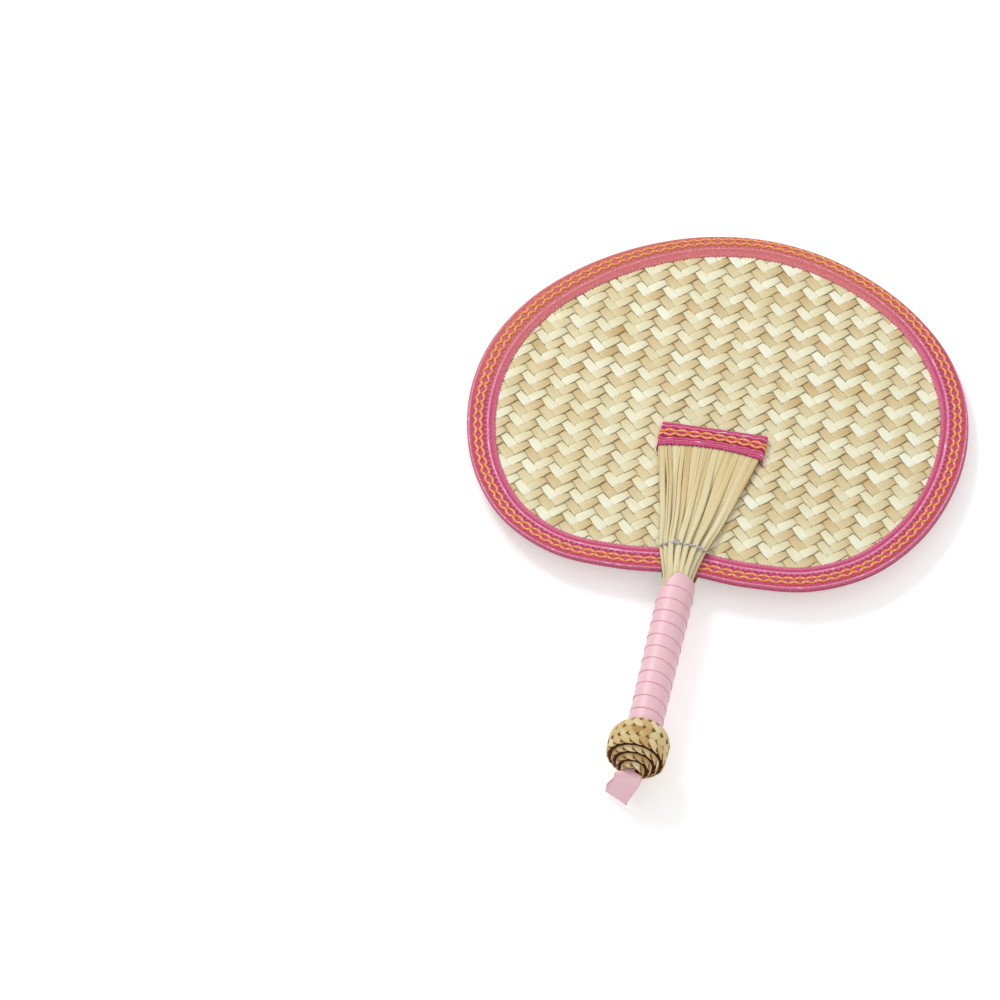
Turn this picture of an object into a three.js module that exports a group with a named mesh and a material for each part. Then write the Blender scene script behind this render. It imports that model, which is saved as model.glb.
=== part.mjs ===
import * as THREE from 'three';

// Woven straw hand fan, lying on its back on a table. Lengths are in millimetres and angles in degrees.
// In the fan's own frame x runs across it, y from the handle to the far edge, z out of the front face.
// y = 0 is the lowest level of the rim and z = 0 is the middle of the woven panel.

// Gap left between pieces that touch on the real fan
const CLEARANCE = 0.3;

// Woven panel, with its outline as shares of the half width and of the height, from far end to handle
const PANEL_WIDTH = 250;
const PANEL_HEIGHT = 223;
const PANEL_THICKNESS = 1.6;
const OUTLINE_SHARES = [
  [0, 1],
  [0.251, 0.98],
  [0.484, 0.924],
  [0.689, 0.84],
  [0.854, 0.732],
  [0.961, 0.604],
  [1, 0.465],
  [0.972, 0.324],
  [0.884, 0.192],
  [0.728, 0.081],
  [0.507, 0.014],
  [0.255, 0],
  [0, 0.01],
];
const STEPS_PER_STATION = 3;

// Patterned ribbon sewn round the rim on both faces, its outer edge turned down over the panel's edge
const TRIM_WIDTH = 13.4;
const TRIM_THICKNESS = 0.7;
const TRIM_EDGE_BEVEL = 0.4;

// Straw stems: half of the bundle spreads over the front of the panel and half over the back
const STEM_ROWS = [6, 5, 4];
const STEM_DIAMETER = 2.1;
const STEM_TIP_WIDTH = 3;
const STEM_SIDES = 8;
const BUNDLE_PITCH = 2.42;
const BUNDLE_ROW_PITCH = 2.15;
const SPREAD_PITCH = 3.4;
const STEM_LOWER_END = -105;
const NECK_Y = -4;
const NECK_SPREAD = 0.28;
const SPREAD_TIP_Y = 89.8;
const RIM_STEP_LENGTH = 14;
const CURVE_STATIONS = 4;

// Ribbon folded over the stem tips on each face
const TIP_TRIM_WIDTH = 13.5;
const TIP_TRIM_OVERHANG = 1;

// Thread tied round the neck through the panel
const THREAD_DIAMETER = 1;
const THREAD_Y = 17.8;
const THREAD_SLACK = 0.7;
const THREAD_SAG = 4.5;
const THREAD_LOOP_POWER = 3;
const THREAD_LOOP_POINTS = 32;
const THREAD_SIDES = 6;
const KNOT_ANGLE = 104;
const KNOT_GAP = 8;
const KNOT_TAIL = 3;

// Satin ribbon wound up the handle, which widens a little towards the neck
const WRAP_INNER_RADIUS = 7.95;
const WRAP_THICKNESS = 0.65;
const WRAP_PITCH = 7.4;
const WRAP_TURN_GAP = 0.5;
const WRAP_BOTTOM = -104;
const WRAP_END_ANGLE = 125;
const WRAP_FLARE = 0.5;
const STEPS_PER_TURN = 24;

// Straw plait rolled up as the pommel, its inner turns pushed out below the outer one
const PLAIT_THICKNESS = 2;
const ROLL_TURNS = 3.95;
const ROLL_START_RADIUS = 4.2;
const ROLL_PITCH = 2.85;
const ROLL_TOP = -94.6;
const ROLL_OUTER_BOTTOM = -111.3;
const ROLL_TELESCOPE = 2.7;
const ROLL_CORE_GAP = 1;
const ROLL_RISE_TURN = 2.85;
const ROLL_RISE_LENGTH = 0.2;
const ROLL_TOP_TUCK = 6;
const ROLL_BOTTOM_TUCK = 0.5;
const ROLL_ROWS = 5;

// Ribbon loop hinged at the middle of the pommel's end
const LOOP_WIDTH = 13;
const LOOP_THICKNESS = 0.6;
const LOOP_LENGTH = 17.2;
const LOOP_END_RADIUS = 3.25;
const LOOP_ROOT_GAP = 1.4;
const LOOP_OFFSET = -3;
const LOOP_ARC_STEPS = 12;
const TAIL_WIDTH = 5.4;
const TAIL_THICKNESS = 1.8;
const TAIL_LENGTH = 14;

const { lerp, clamp, degToRad, radToDeg, smoothstep } = THREE.MathUtils;
const vector = (x, y, z) => new THREE.Vector3(x, y, z);

const panelFace = PANEL_THICKNESS / 2;
const trimUnderside = panelFace + CLEARANCE;
const trimFace = trimUnderside + TRIM_THICKNESS;
const stemRadius = STEM_DIAMETER / 2;
const wrapOuterRadius = WRAP_INNER_RADIUS + WRAP_THICKNESS;
const tipTrimUpper = SPREAD_TIP_Y + TIP_TRIM_OVERHANG;
const tipTrimLower = tipTrimUpper - TIP_TRIM_WIDTH;

const straw = { color: 0xe3cf9b, roughness: 0.55, metalness: 0 };
const plaitStraw = { color: 0xe8d39a, roughness: 0.6, metalness: 0 };
const patternedRibbon = { color: 0xd8588a, roughness: 0.6, metalness: 0 };
const satinRibbon = { color: 0xf3b3c3, roughness: 0.35, metalness: 0 };
const greyThread = { color: 0xb9b4a8, roughness: 0.5, metalness: 0 };

const fan = new THREE.Group();

function addPiece(name, geometry, finish) {
  const mesh = new THREE.Mesh(geometry, new THREE.MeshStandardMaterial(finish));
  mesh.name = name;
  fan.add(mesh);
  return mesh;
}

// Six times the volume inside a closed indexed surface, negative when its faces point inwards.
function signedVolume(positions, index) {
  let sum = 0;
  for (let i = 0; i < index.length; i += 3) {
    const [a, b, c] = index.slice(i, i + 3).map((k) => positions[k]);
    sum += a.dot(b.clone().cross(c));
  }
  return sum;
}

// Closed solid through a row of rings with equally many points, either joined round or capped at both ends.
// A cap joins each point of a ring's first half to its partner in the second half.
function loft(rings, joined = false) {
  const sides = rings[0].length;
  const positions = rings.flat();
  const index = [];
  const quad = (a, b, c, d) => index.push(a, b, c, a, c, d);
  rings.forEach((ring, i) => {
    if (!joined && i === rings.length - 1) return;
    const here = i * sides;
    const next = ((i + 1) % rings.length) * sides;
    for (let k = 0; k < sides; k++) {
      const m = (k + 1) % sides;
      quad(here + k, here + m, next + m, next + k);
    }
  });
  if (!joined) {
    const end = positions.length - sides;
    for (let k = 0; k < sides / 2 - 1; k++) {
      const partner = sides - 1 - k;
      quad(k, partner, partner - 1, k + 1);
      quad(end + k, end + k + 1, end + partner - 1, end + partner);
    }
  }
  if (signedVolume(positions, index) < 0) index.reverse();
  return new THREE.BufferGeometry().setFromPoints(positions).setIndex(index);
}

// Least distance between points of one winding that lie over half a turn apart along it.
function leastGap(rings) {
  const apart = Math.ceil(STEPS_PER_TURN / 2);
  let least = Infinity;
  rings.forEach((ring, i) => {
    const others = rings.slice(i + apart).flat();
    ring.forEach((p) => others.forEach((q) => (least = Math.min(least, p.distanceTo(q)))));
  });
  return least;
}

// Rim outline, sampled clockwise from the far end, with a direction into the panel at each point
const rightSide = OUTLINE_SHARES.map(([u, v]) => vector((u * PANEL_WIDTH) / 2, v * PANEL_HEIGHT, 0));
const leftSide = rightSide.slice(1, -1).reverse().map((p) => vector(-p.x, p.y, 0));
const outline = new THREE.CatmullRomCurve3([...rightSide, ...leftSide], true);
const outlineSteps = outline.points.length * STEPS_PER_STATION;
const rim = Array.from({ length: outlineSteps }, (_, i) => {
  const share = i / outlineSteps;
  const along = outline.getTangent(share);
  return { point: outline.getPoint(share), inward: vector(along.y, -along.x, 0) };
});
const rimAt = (station, inset, z) =>
  station.point.clone().addScaledVector(station.inward, inset).setZ(z);

// One stem's place in the half bundle and at the tips: stems keep their order from side to side.
const halfBundle = STEM_ROWS.flatMap((count, row) =>
  Array.from({ length: count }, (_, k) => ({ row, x: (k - (count - 1) / 2) * BUNDLE_PITCH })),
);
halfBundle.sort((a, b) => a.x - b.x || (a.row - b.row) * (a.x < 0 ? 1 : -1));
halfBundle.forEach((stem, k) => {
  stem.tipX = (k - (halfBundle.length - 1) / 2) * SPREAD_PITCH;
});

// Height of the row of stems nearest the panel: close together in the handle, stepping over the rim ribbon,
// then down onto the panel.
function innerRowHeight(y) {
  const overRim = lerp(BUNDLE_PITCH / 2, trimFace + CLEARANCE + stemRadius, smoothstep(y, NECK_Y, 0));
  const onPanel = panelFace + CLEARANCE + stemRadius;
  return lerp(overRim, onPanel, smoothstep(y, THREAD_Y, THREAD_Y + RIM_STEP_LENGTH));
}

// Share of the way from the bundle to the full spread: a short flare up to the thread, then straight on.
function spreadAt(y) {
  const toThread = clamp((THREAD_Y - y) / (THREAD_Y - NECK_Y), 0, 1);
  const aboveThread = clamp((y - THREAD_Y) / (tipTrimLower - THREAD_Y), 0, 1);
  return lerp(NECK_SPREAD * (1 - toThread ** 2), 1, aboveThread);
}

// Middle and half width of a stem where it crosses the level y on the front of the fan.
function stemAt(stem, y) {
  const spread = spreadAt(y);
  return {
    x: lerp(stem.x, stem.tipX, spread),
    z: innerRowHeight(y) + stem.row * BUNDLE_ROW_PITCH * (1 - spread),
    halfWidth: lerp(STEM_DIAMETER, STEM_TIP_WIDTH, spread) / 2,
  };
}

function stemRing(stem, y, side) {
  const { x, z, halfWidth } = stemAt(stem, y);
  return Array.from({ length: STEM_SIDES }, (_, k) => {
    const angle = ((k + 0.5) / STEM_SIDES) * 2 * Math.PI;
    return vector(x + halfWidth * Math.cos(angle), y, side * (z + stemRadius * Math.sin(angle)));
  });
}

const spaced = (from, to) =>
  Array.from({ length: CURVE_STATIONS }, (_, k) => lerp(from, to, k / (CURVE_STATIONS - 1)));
const stemStations = [
  STEM_LOWER_END,
  ...spaced(NECK_Y, 0),
  THREAD_Y / 2,
  ...spaced(THREAD_Y, THREAD_Y + RIM_STEP_LENGTH),
  tipTrimLower,
  SPREAD_TIP_Y,
];

// Panel plate with the two holes that the neck thread passes through
const widestStem = stemAt(halfBundle[halfBundle.length - 1], THREAD_Y);
const highestStem = Math.max(...halfBundle.map((stem) => stemAt(stem, THREAD_Y - THREAD_SAG).z));
const threadRadius = THREAD_DIAMETER / 2;
const threadReachX = widestStem.x + widestStem.halfWidth + THREAD_SLACK + threadRadius;
const threadReachZ = highestStem + stemRadius + THREAD_SLACK + threadRadius;

const panelEdge = TRIM_THICKNESS + CLEARANCE;
const panelShape = new THREE.Shape(rim.map((station) => rimAt(station, panelEdge, 0)));
for (const side of [-1, 1]) {
  const hole = new THREE.Path();
  hole.absarc(side * threadReachX, THREAD_Y, threadRadius + CLEARANCE, 0, 2 * Math.PI);
  panelShape.holes.push(hole);
}
const panelPlate = new THREE.ExtrudeGeometry(panelShape, {
  depth: PANEL_THICKNESS,
  bevelEnabled: false,
  curveSegments: 6,
});
addPiece('woven_panel', panelPlate.translate(0, 0, -panelFace), straw);

// Rim ribbons: a flat face with the outer edge turned down to the middle of the panel's edge
function trimRing(station, side) {
  const section = [
    [0, CLEARANCE / 2],
    [0, trimFace - TRIM_EDGE_BEVEL],
    [TRIM_EDGE_BEVEL, trimFace],
    [TRIM_WIDTH, trimFace],
    [TRIM_WIDTH, trimUnderside],
    [TRIM_THICKNESS, trimUnderside],
    [TRIM_THICKNESS, CLEARANCE / 2],
  ];
  return section.map(([inset, z]) => rimAt(station, inset, side * z));
}

// Ribbon over the stem tips: a shallow channel, open towards the panel
function tipTrim(side) {
  const innerHalf = halfBundle[halfBundle.length - 1].tipX + STEM_TIP_WIDTH / 2 + CLEARANCE;
  const outerHalf = innerHalf + TRIM_THICKNESS;
  const foot = panelFace + CLEARANCE;
  const ceiling = innerRowHeight(SPREAD_TIP_Y) + stemRadius + CLEARANCE;
  const top = ceiling + TRIM_THICKNESS;
  const section = [
    [-outerHalf, foot],
    [-outerHalf, top - TRIM_EDGE_BEVEL],
    [-outerHalf + TRIM_EDGE_BEVEL, top],
    [outerHalf - TRIM_EDGE_BEVEL, top],
    [outerHalf, top - TRIM_EDGE_BEVEL],
    [outerHalf, foot],
    [innerHalf, foot],
    [innerHalf, ceiling],
    [innerHalf - TRIM_EDGE_BEVEL, ceiling],
    [TRIM_EDGE_BEVEL - innerHalf, ceiling],
    [-innerHalf, ceiling],
    [-innerHalf, foot],
  ];
  const ringAt = (y) => section.map(([x, z]) => vector(x, y, side * z));
  return loft([ringAt(tipTrimLower), ringAt(tipTrimUpper)]);
}

for (const [face, side] of [['front', 1], ['back', -1]]) {
  addPiece(`rim_trim_${face}`, loft(rim.map((station) => trimRing(station, side)), true), patternedRibbon);
  addPiece(`tip_trim_${face}`, tipTrim(side), patternedRibbon);
  halfBundle.forEach((stem, k) => {
    const rings = stemStations.map((y) => stemRing(stem, y, side));
    addPiece(`${face}_stem_${String(k + 1).padStart(2, '0')}`, loft(rings), straw);
  });
}

// Neck thread: one open loop round both halves of the bundle, its two tails standing up at the knot
function threadPoint(degrees) {
  const angle = degToRad(degrees);
  const bend = (value) => Math.sign(value) * Math.abs(value) ** (2 / THREAD_LOOP_POWER);
  const rise = bend(Math.sin(angle));
  const y = THREAD_Y - THREAD_SAG * rise ** 2;
  return vector(threadReachX * bend(Math.cos(angle)), y, threadReachZ * rise);
}
const threadLoop = Array.from({ length: THREAD_LOOP_POINTS + 1 }, (_, k) =>
  threadPoint(KNOT_ANGLE + KNOT_GAP + ((360 - 2 * KNOT_GAP) * k) / THREAD_LOOP_POINTS),
);
const tailOf = (point) => point.clone().add(vector(0, KNOT_TAIL, threadRadius));
const threadPath = new THREE.CatmullRomCurve3([
  tailOf(threadLoop[0]),
  ...threadLoop,
  tailOf(threadLoop[THREAD_LOOP_POINTS]),
]);
const threadSection = new THREE.Shape().absarc(0, 0, threadRadius, 0, 2 * Math.PI);
const thread = new THREE.ExtrudeGeometry(threadSection, {
  extrudePath: threadPath,
  steps: 2 * THREAD_LOOP_POINTS,
  curveSegments: THREAD_SIDES / 2,
});
addPiece('neck_thread', thread, greyThread);

// Handle ribbon: one flat band climbing the handle to the neck
const wrapHeight = WRAP_PITCH - WRAP_TURN_GAP;
const wrapTurns = (NECK_Y - WRAP_BOTTOM - wrapHeight) / WRAP_PITCH;
const wrapSteps = Math.round(wrapTurns * STEPS_PER_TURN);
const wrapRings = Array.from({ length: wrapSteps + 1 }, (_, k) => {
  const turn = (wrapTurns * k) / wrapSteps;
  const angle = degToRad(WRAP_END_ANGLE) + 2 * Math.PI * (turn - wrapTurns);
  const lower = WRAP_BOTTOM + turn * WRAP_PITCH;
  const inner = WRAP_INNER_RADIUS + (WRAP_FLARE * turn) / wrapTurns;
  const at = (radius, y) => vector(radius * Math.cos(angle), y, radius * Math.sin(angle));
  return [
    at(inner + WRAP_THICKNESS, lower),
    at(inner + WRAP_THICKNESS, lower + wrapHeight),
    at(inner, lower + wrapHeight),
    at(inner, lower),
  ];
});
addPiece('handle_ribbon', loft(wrapRings), satinRibbon);
console.log('handle ribbon, least gap between turns:', leastGap(wrapRings).toFixed(2));

// Pommel roll: the outer turn hugs the handle, the inner turns lie below the stems' ends
const rollCoreTop = STEM_LOWER_END - ROLL_CORE_GAP;
const rollMiddle = (ROLL_TOP + ROLL_OUTER_BOTTOM) / 2;
function rollRing(turn, angle) {
  const radius = ROLL_START_RADIUS + ROLL_PITCH * turn;
  const bottom = ROLL_OUTER_BOTTOM - ROLL_TELESCOPE * (ROLL_TURNS - turn);
  const rise = smoothstep(turn, ROLL_RISE_TURN, ROLL_RISE_TURN + ROLL_RISE_LENGTH);
  const top = lerp(rollCoreTop, ROLL_TOP, rise);
  const room = radius - PLAIT_THICKNESS / 2 - wrapOuterRadius - CLEARANCE;
  const topTuck = clamp(room, 0, ROLL_TOP_TUCK);
  const column = Array.from({ length: ROLL_ROWS }, (_, row) => {
    const y = lerp(bottom, top, row / (ROLL_ROWS - 1));
    const above = clamp((y - rollMiddle) / (ROLL_TOP - rollMiddle), 0, 1);
    const below = clamp((rollMiddle - y) / (rollMiddle - bottom), 0, 1);
    return { radius: radius - topTuck * above ** 2 - ROLL_BOTTOM_TUCK * below ** 2, y };
  });
  const at = (p, offset) =>
    vector((p.radius + offset) * Math.cos(angle), p.y, (p.radius + offset) * Math.sin(angle));
  const outer = column.map((p) => at(p, PLAIT_THICKNESS / 2));
  const inner = column.map((p) => at(p, -PLAIT_THICKNESS / 2));
  return [...outer, ...inner.reverse()];
}
const rollSteps = Math.round(ROLL_TURNS * STEPS_PER_TURN);
const rollRings = Array.from({ length: rollSteps + 1 }, (_, k) => {
  const turn = (ROLL_TURNS * k) / rollSteps;
  return rollRing(turn, -Math.PI / 2 + 2 * Math.PI * (turn - ROLL_TURNS));
});
addPiece('pommel_plait', loft(rollRings), plaitStraw);
console.log('pommel plait, least gap between turns:', leastGap(rollRings).toFixed(2));

// Resting slope: the fan lies on its pommel and on the far end of the rim
const farContact = vector(0, PANEL_HEIGHT, -trimFace + TRIM_EDGE_BEVEL);
const slopes = rollRings.flat().map((p) => Math.atan2(farContact.z - p.z, farContact.y - p.y));
const restSlope = Math.max(...slopes);
const tableBelowAxis = (y) => -farContact.z + (farContact.y - y) * Math.tan(restSlope);

// Hanging loop: two legs that open from the root to a round end, drooping until the end nears the table
const rollEnd = ROLL_OUTER_BOTTOM - ROLL_TELESCOPE * ROLL_TURNS;
const rootRadius = Math.hypot(LOOP_ROOT_GAP / 2 + LOOP_THICKNESS / 2, LOOP_THICKNESS / 2);
const pivotY = rollEnd - rootRadius - CLEARANCE;
const loopReach = LOOP_LENGTH - LOOP_END_RADIUS;
const loopDepth = LOOP_END_RADIUS + LOOP_THICKNESS / 2;
const pivotHeight = tableBelowAxis(pivotY) * Math.cos(restSlope);
const droop = Math.asin(Math.min(1, (pivotHeight - loopDepth - CLEARANCE) / loopReach)) + restSlope;
const legAngle = Math.asin((LOOP_END_RADIUS - LOOP_ROOT_GAP / 2) / loopReach);
const loopPath = [{ reach: 0, rise: LOOP_ROOT_GAP / 2, lean: Math.PI / 2 + legAngle }];
for (let k = 0; k <= LOOP_ARC_STEPS; k++) {
  const lean = lerp(Math.PI / 2 + legAngle, -Math.PI / 2 - legAngle, k / LOOP_ARC_STEPS);
  loopPath.push({
    reach: loopReach + LOOP_END_RADIUS * Math.cos(lean),
    rise: LOOP_END_RADIUS * Math.sin(lean),
    lean,
  });
}
loopPath.push({ reach: 0, rise: -LOOP_ROOT_GAP / 2, lean: -Math.PI / 2 - legAngle });
const loopRings = loopPath.map(({ reach, rise, lean }) => {
  const at = (x, offset) =>
    vector(x, -reach - offset * Math.cos(lean), rise + offset * Math.sin(lean));
  const half = LOOP_THICKNESS / 2;
  return [
    at(-LOOP_WIDTH / 2, half),
    at(LOOP_WIDTH / 2, half),
    at(LOOP_WIDTH / 2, -half),
    at(-LOOP_WIDTH / 2, -half),
  ];
});
const loop = addPiece('hang_loop', loft(loopRings), satinRibbon);
loop.position.set(LOOP_OFFSET, pivotY, 0);
loop.rotation.x = droop;

// Gathered tail of the loop, held in the core of the roll
const tailBlock = new THREE.BoxGeometry(TAIL_WIDTH, TAIL_LENGTH, TAIL_THICKNESS);
const tail = addPiece('loop_tail', tailBlock, satinRibbon);
tail.position.set(0, rollEnd + TAIL_LENGTH / 2, 0);

// Part frame: table at z = 0, middle of the whole in plan at x = y = 0
fan.rotation.x = -restSlope;
fan.updateMatrixWorld(true);
const extent = new THREE.Box3().setFromObject(fan, true);
const middle = extent.getCenter(vector(0, 0, 0));
fan.position.set(-middle.x, -middle.y, -extent.min.z);
fan.updateMatrixWorld(true);

const inPart = (x, y, z) => fan.localToWorld(vector(x, y, z)).toArray().map((v) => +v.toFixed(3));
const loopEndMiddle = loop.localToWorld(vector(0, -loopReach, 0)).toArray().map((v) => +v.toFixed(3));
console.log('rest slope:', radToDeg(restSlope).toFixed(3));
console.log('origin of the fan frame:', inPart(0, 0, 0));
console.log('loop droop:', radToDeg(droop).toFixed(3), 'pivot:', inPart(LOOP_OFFSET, pivotY, 0));
console.log('middle of the loop end:', loopEndMiddle);
console.log('back of the far rim:', inPart(0, PANEL_HEIGHT - TRIM_WIDTH / 2, -trimFace));

const part = new THREE.Group();
part.name = 'woven_straw_fan';
part.add(fan);

export default part;
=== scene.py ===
"""Looks of a woven straw hand fan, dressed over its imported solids.

Shapes are worked out in the fan's own axes, in millimetres: x runs across the fan, y from the handle to
the far edge and z out of the front face. y = 0 is the lowest level of the rim and z = 0 is the middle of
the woven panel.
"""

import logging
from collections.abc import Sequence
from dataclasses import dataclass, field
from enum import Enum

import bpy
import numpy as np
from mathutils import Matrix


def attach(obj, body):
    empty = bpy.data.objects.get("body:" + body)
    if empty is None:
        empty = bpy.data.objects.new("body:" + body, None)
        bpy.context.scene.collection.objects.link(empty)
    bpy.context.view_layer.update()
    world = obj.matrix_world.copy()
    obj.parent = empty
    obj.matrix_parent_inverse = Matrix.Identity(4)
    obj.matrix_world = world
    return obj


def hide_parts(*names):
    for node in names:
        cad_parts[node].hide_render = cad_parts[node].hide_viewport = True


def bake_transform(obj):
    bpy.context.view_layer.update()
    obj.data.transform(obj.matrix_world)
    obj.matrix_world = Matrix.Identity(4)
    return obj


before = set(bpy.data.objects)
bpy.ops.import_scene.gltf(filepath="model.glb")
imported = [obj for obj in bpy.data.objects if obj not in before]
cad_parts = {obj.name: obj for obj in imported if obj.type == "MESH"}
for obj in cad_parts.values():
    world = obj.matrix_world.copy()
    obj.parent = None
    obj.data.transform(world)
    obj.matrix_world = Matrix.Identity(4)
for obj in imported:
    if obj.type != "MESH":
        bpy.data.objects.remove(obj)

LOG = logging.getLogger("straw_fan")
LIE = "lie"
MILLIMETRE = 0.001
SEED = 7090
# Random phases are drawn over about one full turn
PHASES = 6.28
# Samples on each span of a curve, before it is divided evenly
SPAN_SAMPLES = 65
# Scale at which Blender's straight wave texture repeats once per unit
WAVE_UNIT = 0.31416
# Section of a straw strip: places across its face, its thickness there and how brown and painted-shaded it
# is, as shares
STRIP_PLACES = np.array([-1, -0.85, 0, 0.85, 1])
STRIP_HEIGHTS = np.array([0.78, 0.97, 1, 0.97, 0.78])
STRIP_BROWN_AND_SHADE = np.array([0.4, 0.1, 0, 0.1, 0.4])


class Face(Enum):
    """The two broad faces of the fan, with the sign of z on each."""

    FRONT = 1
    BACK = -1


class Slot(Enum):
    """The record's material slots."""

    WEAVE = "woven_straw"
    STEM = "straw_stem"
    PLAIT = "plaited_straw"
    TRIM = "patterned_ribbon"
    SATIN = "satin_ribbon"
    THREAD = "grey_thread"


@dataclass(frozen=True)
class FanFrame:
    """The fan's own axes on the table: the pommel props up the handle, so the far edge slopes down."""

    rest_slope: float = np.radians(2.645)
    origin: tuple[float, float, float] = (0.0, -46.367, 12.070)

    def turn(self) -> np.ndarray:
        """Matrix of the turn about x by the resting slope."""
        c, s = np.cos(self.rest_slope), np.sin(self.rest_slope)
        return np.array([[1, 0, 0], [0, c, s], [0, -s, c]])

    def place(self, points: np.ndarray) -> np.ndarray:
        """Carry points from the fan's axes to the table.

        Args:
            points: places in the fan's axes, in millimetres.

        Returns:
            The same places on the table, in metres.
        """
        return (points @ self.turn().T + np.array(self.origin)) * MILLIMETRE


FAN = FanFrame()


@dataclass
class Patch:
    """A closed surface of quads: points and a flat map in millimetres, faces and shades per point."""

    points: np.ndarray
    faces: np.ndarray
    lie: np.ndarray
    shades: dict[str, np.ndarray] = field(default_factory=dict)


def linear(shade: str) -> tuple[float, ...]:
    """Turn an sRGB hex colour into linear light.

    Args:
        shade: colour as "#RRGGBB".

    Returns:
        Linear red, green and blue, and full cover.
    """
    srgb = np.array([int(shade[k : k + 2], 16) for k in (1, 3, 5)]) / 255
    light = np.where(srgb <= 0.04045, srgb / 12.92, ((srgb + 0.055) / 1.055) ** 2.4)
    return (*light.tolist(), 1.0)


def smooth(value: np.ndarray, start: float, end: float) -> np.ndarray:
    """Ease from 0 at start to 1 at end as 3t^2 - 2t^3."""
    t = np.clip((value - start) / (end - start), 0, 1)
    return t * t * (3 - 2 * t)


def unit(vectors: np.ndarray) -> np.ndarray:
    """Vectors of length 1 along each row."""
    return vectors / np.linalg.norm(vectors, axis=1, keepdims=True)


def pair(first: np.ndarray, second: np.ndarray) -> np.ndarray:
    """Two arrays, spread to a common shape, side by side in a new last axis."""
    return np.stack(np.broadcast_arrays(first, second), axis=-1)


def arc_length(points: np.ndarray) -> np.ndarray:
    """Distance travelled along a row of points, at each point."""
    return np.concatenate([[0], np.cumsum(np.linalg.norm(np.diff(points, axis=0), axis=1))])


def catmull_rom(points: np.ndarray, count: int, closed: bool = False) -> np.ndarray:
    """Sample a centripetal Catmull-Rom curve at equal steps of arc length.

    Each span is a cubic whose end slopes come from its neighbours, with knots a square root of distance
    apart.

    Args:
        points: points the curve goes through, one per row.
        count: samples wanted; on a closed curve the last isn't the first again.
        closed: whether the curve joins up with its start.

    Returns:
        The samples, one per row.
    """
    if closed:
        padded = np.vstack([points[-1:], points, points[:2]])
    else:
        padded = np.vstack([2 * points[0] - points[1], points, 2 * points[-1] - points[-2]])
    p0, p1, p2, p3 = (padded[k : len(padded) - 3 + k] for k in range(4))
    d0, d1, d2 = (np.linalg.norm(b - a, axis=1)[:, None] ** 0.5 for a, b in ((p0, p1), (p1, p2), (p2, p3)))
    m1 = ((p1 - p0) / d0 - (p2 - p0) / (d0 + d1) + (p2 - p1) / d1) * d1
    m2 = ((p2 - p1) / d1 - (p3 - p1) / (d1 + d2) + (p3 - p2) / d2) * d1
    t = np.linspace(0, 1, SPAN_SAMPLES)[None, :, None]
    a, b, c, d = (p[:, None, :] for p in (p1, m1, 3 * (p2 - p1) - 2 * m1 - m2, 2 * (p1 - p2) + m1 + m2))
    spans = a + b * t + c * t**2 + d * t**3
    dense = np.vstack([spans[:, :-1].reshape(-1, points.shape[1]), spans[-1:, -1]])
    arc = arc_length(dense)
    wanted = np.linspace(0, arc[-1], count, endpoint=not closed)
    return np.stack([np.interp(wanted, arc, column) for column in dense.T], axis=1)


def sweep(rings: np.ndarray, lie: np.ndarray, joined: bool = False, **shades: np.ndarray) -> Patch:
    """Skin a row of rings into one closed surface that faces outwards.

    Quads join each ring to the next. Open ends get caps that join each point of a ring's first half to its
    partner in the second half. The faces are turned round if the volume inside, summed over the faces,
    comes out negative.

    Args:
        rings: places, by ring, point of the ring and axis.
        lie: flat map in millimetres, by ring, point and axis.
        joined: whether the last ring joins the first.
        **shades: values by ring and point, or by ring alone with one column.

    Returns:
        The closed surface.
    """
    count, sides = rings.shape[:2]
    index = np.arange(count * sides).reshape(count, sides)
    here, there = index, np.roll(index, -1, axis=0)
    if not joined:
        here, there = here[:-1], there[:-1]
    corners = [here, np.roll(here, -1, axis=1), np.roll(there, -1, axis=1), there]
    faces = [np.stack(corners, axis=-1).reshape(-1, 4)]
    if not joined:
        k = np.arange(sides // 2 - 1)
        first, last = index[0], index[-1]
        faces.append(np.stack([first[k], first[-1 - k], first[-2 - k], first[k + 1]], axis=-1))
        faces.append(np.stack([last[k], last[k + 1], last[-2 - k], last[-1 - k]], axis=-1))
    quads = np.concatenate(faces)
    points = rings.reshape(-1, 3)
    a, b, c, d = (points[quads[:, k]] for k in range(4))
    if np.sum(a * np.cross(b, c)) + np.sum(a * np.cross(c, d)) < 0:
        quads = quads[:, ::-1]
    spread = {name: np.broadcast_to(value, (count, sides)).ravel() for name, value in shades.items()}
    return Patch(points, quads, np.broadcast_to(lie, (count, sides, 2)).reshape(-1, 2), spread)


def join(patches: Sequence[Patch]) -> Patch:
    """Gather several closed surfaces into one.

    Args:
        patches: surfaces with the same shades.

    Returns:
        One surface, in which each keeps its own points.
    """
    starts = np.cumsum([0] + [len(p.points) for p in patches[:-1]])
    faces = np.concatenate([p.faces + start for p, start in zip(patches, starts)])
    shades = {name: np.concatenate([p.shades[name] for p in patches]) for name in patches[0].shades}
    points = np.concatenate([p.points for p in patches])
    return Patch(points, faces, np.concatenate([p.lie for p in patches]), shades)


def add_node(
    tree: bpy.types.NodeTree, kind: str, settings: dict | None = None, links: dict | None = None
) -> bpy.types.Node:
    """Add one shader node.

    Args:
        tree: node tree to add it to.
        kind: Blender's name for the node type.
        settings: properties and input values by name; stops is a ramp's list of places and hex colours.
        links: output sockets by the name or number of the input they feed.

    Returns:
        The node.
    """
    node = tree.nodes.new(kind)
    for key, value in (settings or {}).items():
        if key == "stops":
            elements = node.color_ramp.elements
            for _ in range(len(value) - len(elements)):
                elements.new(1.0)
            for element, (place, shade) in zip(elements, value):
                element.position, element.color = place, linear(shade)
        elif isinstance(key, str) and hasattr(node, key):
            setattr(node, key, value)
        else:
            node.inputs[key].default_value = value
    for key, socket in (links or {}).items():
        tree.links.new(socket, node.inputs[key])
    return node


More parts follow.
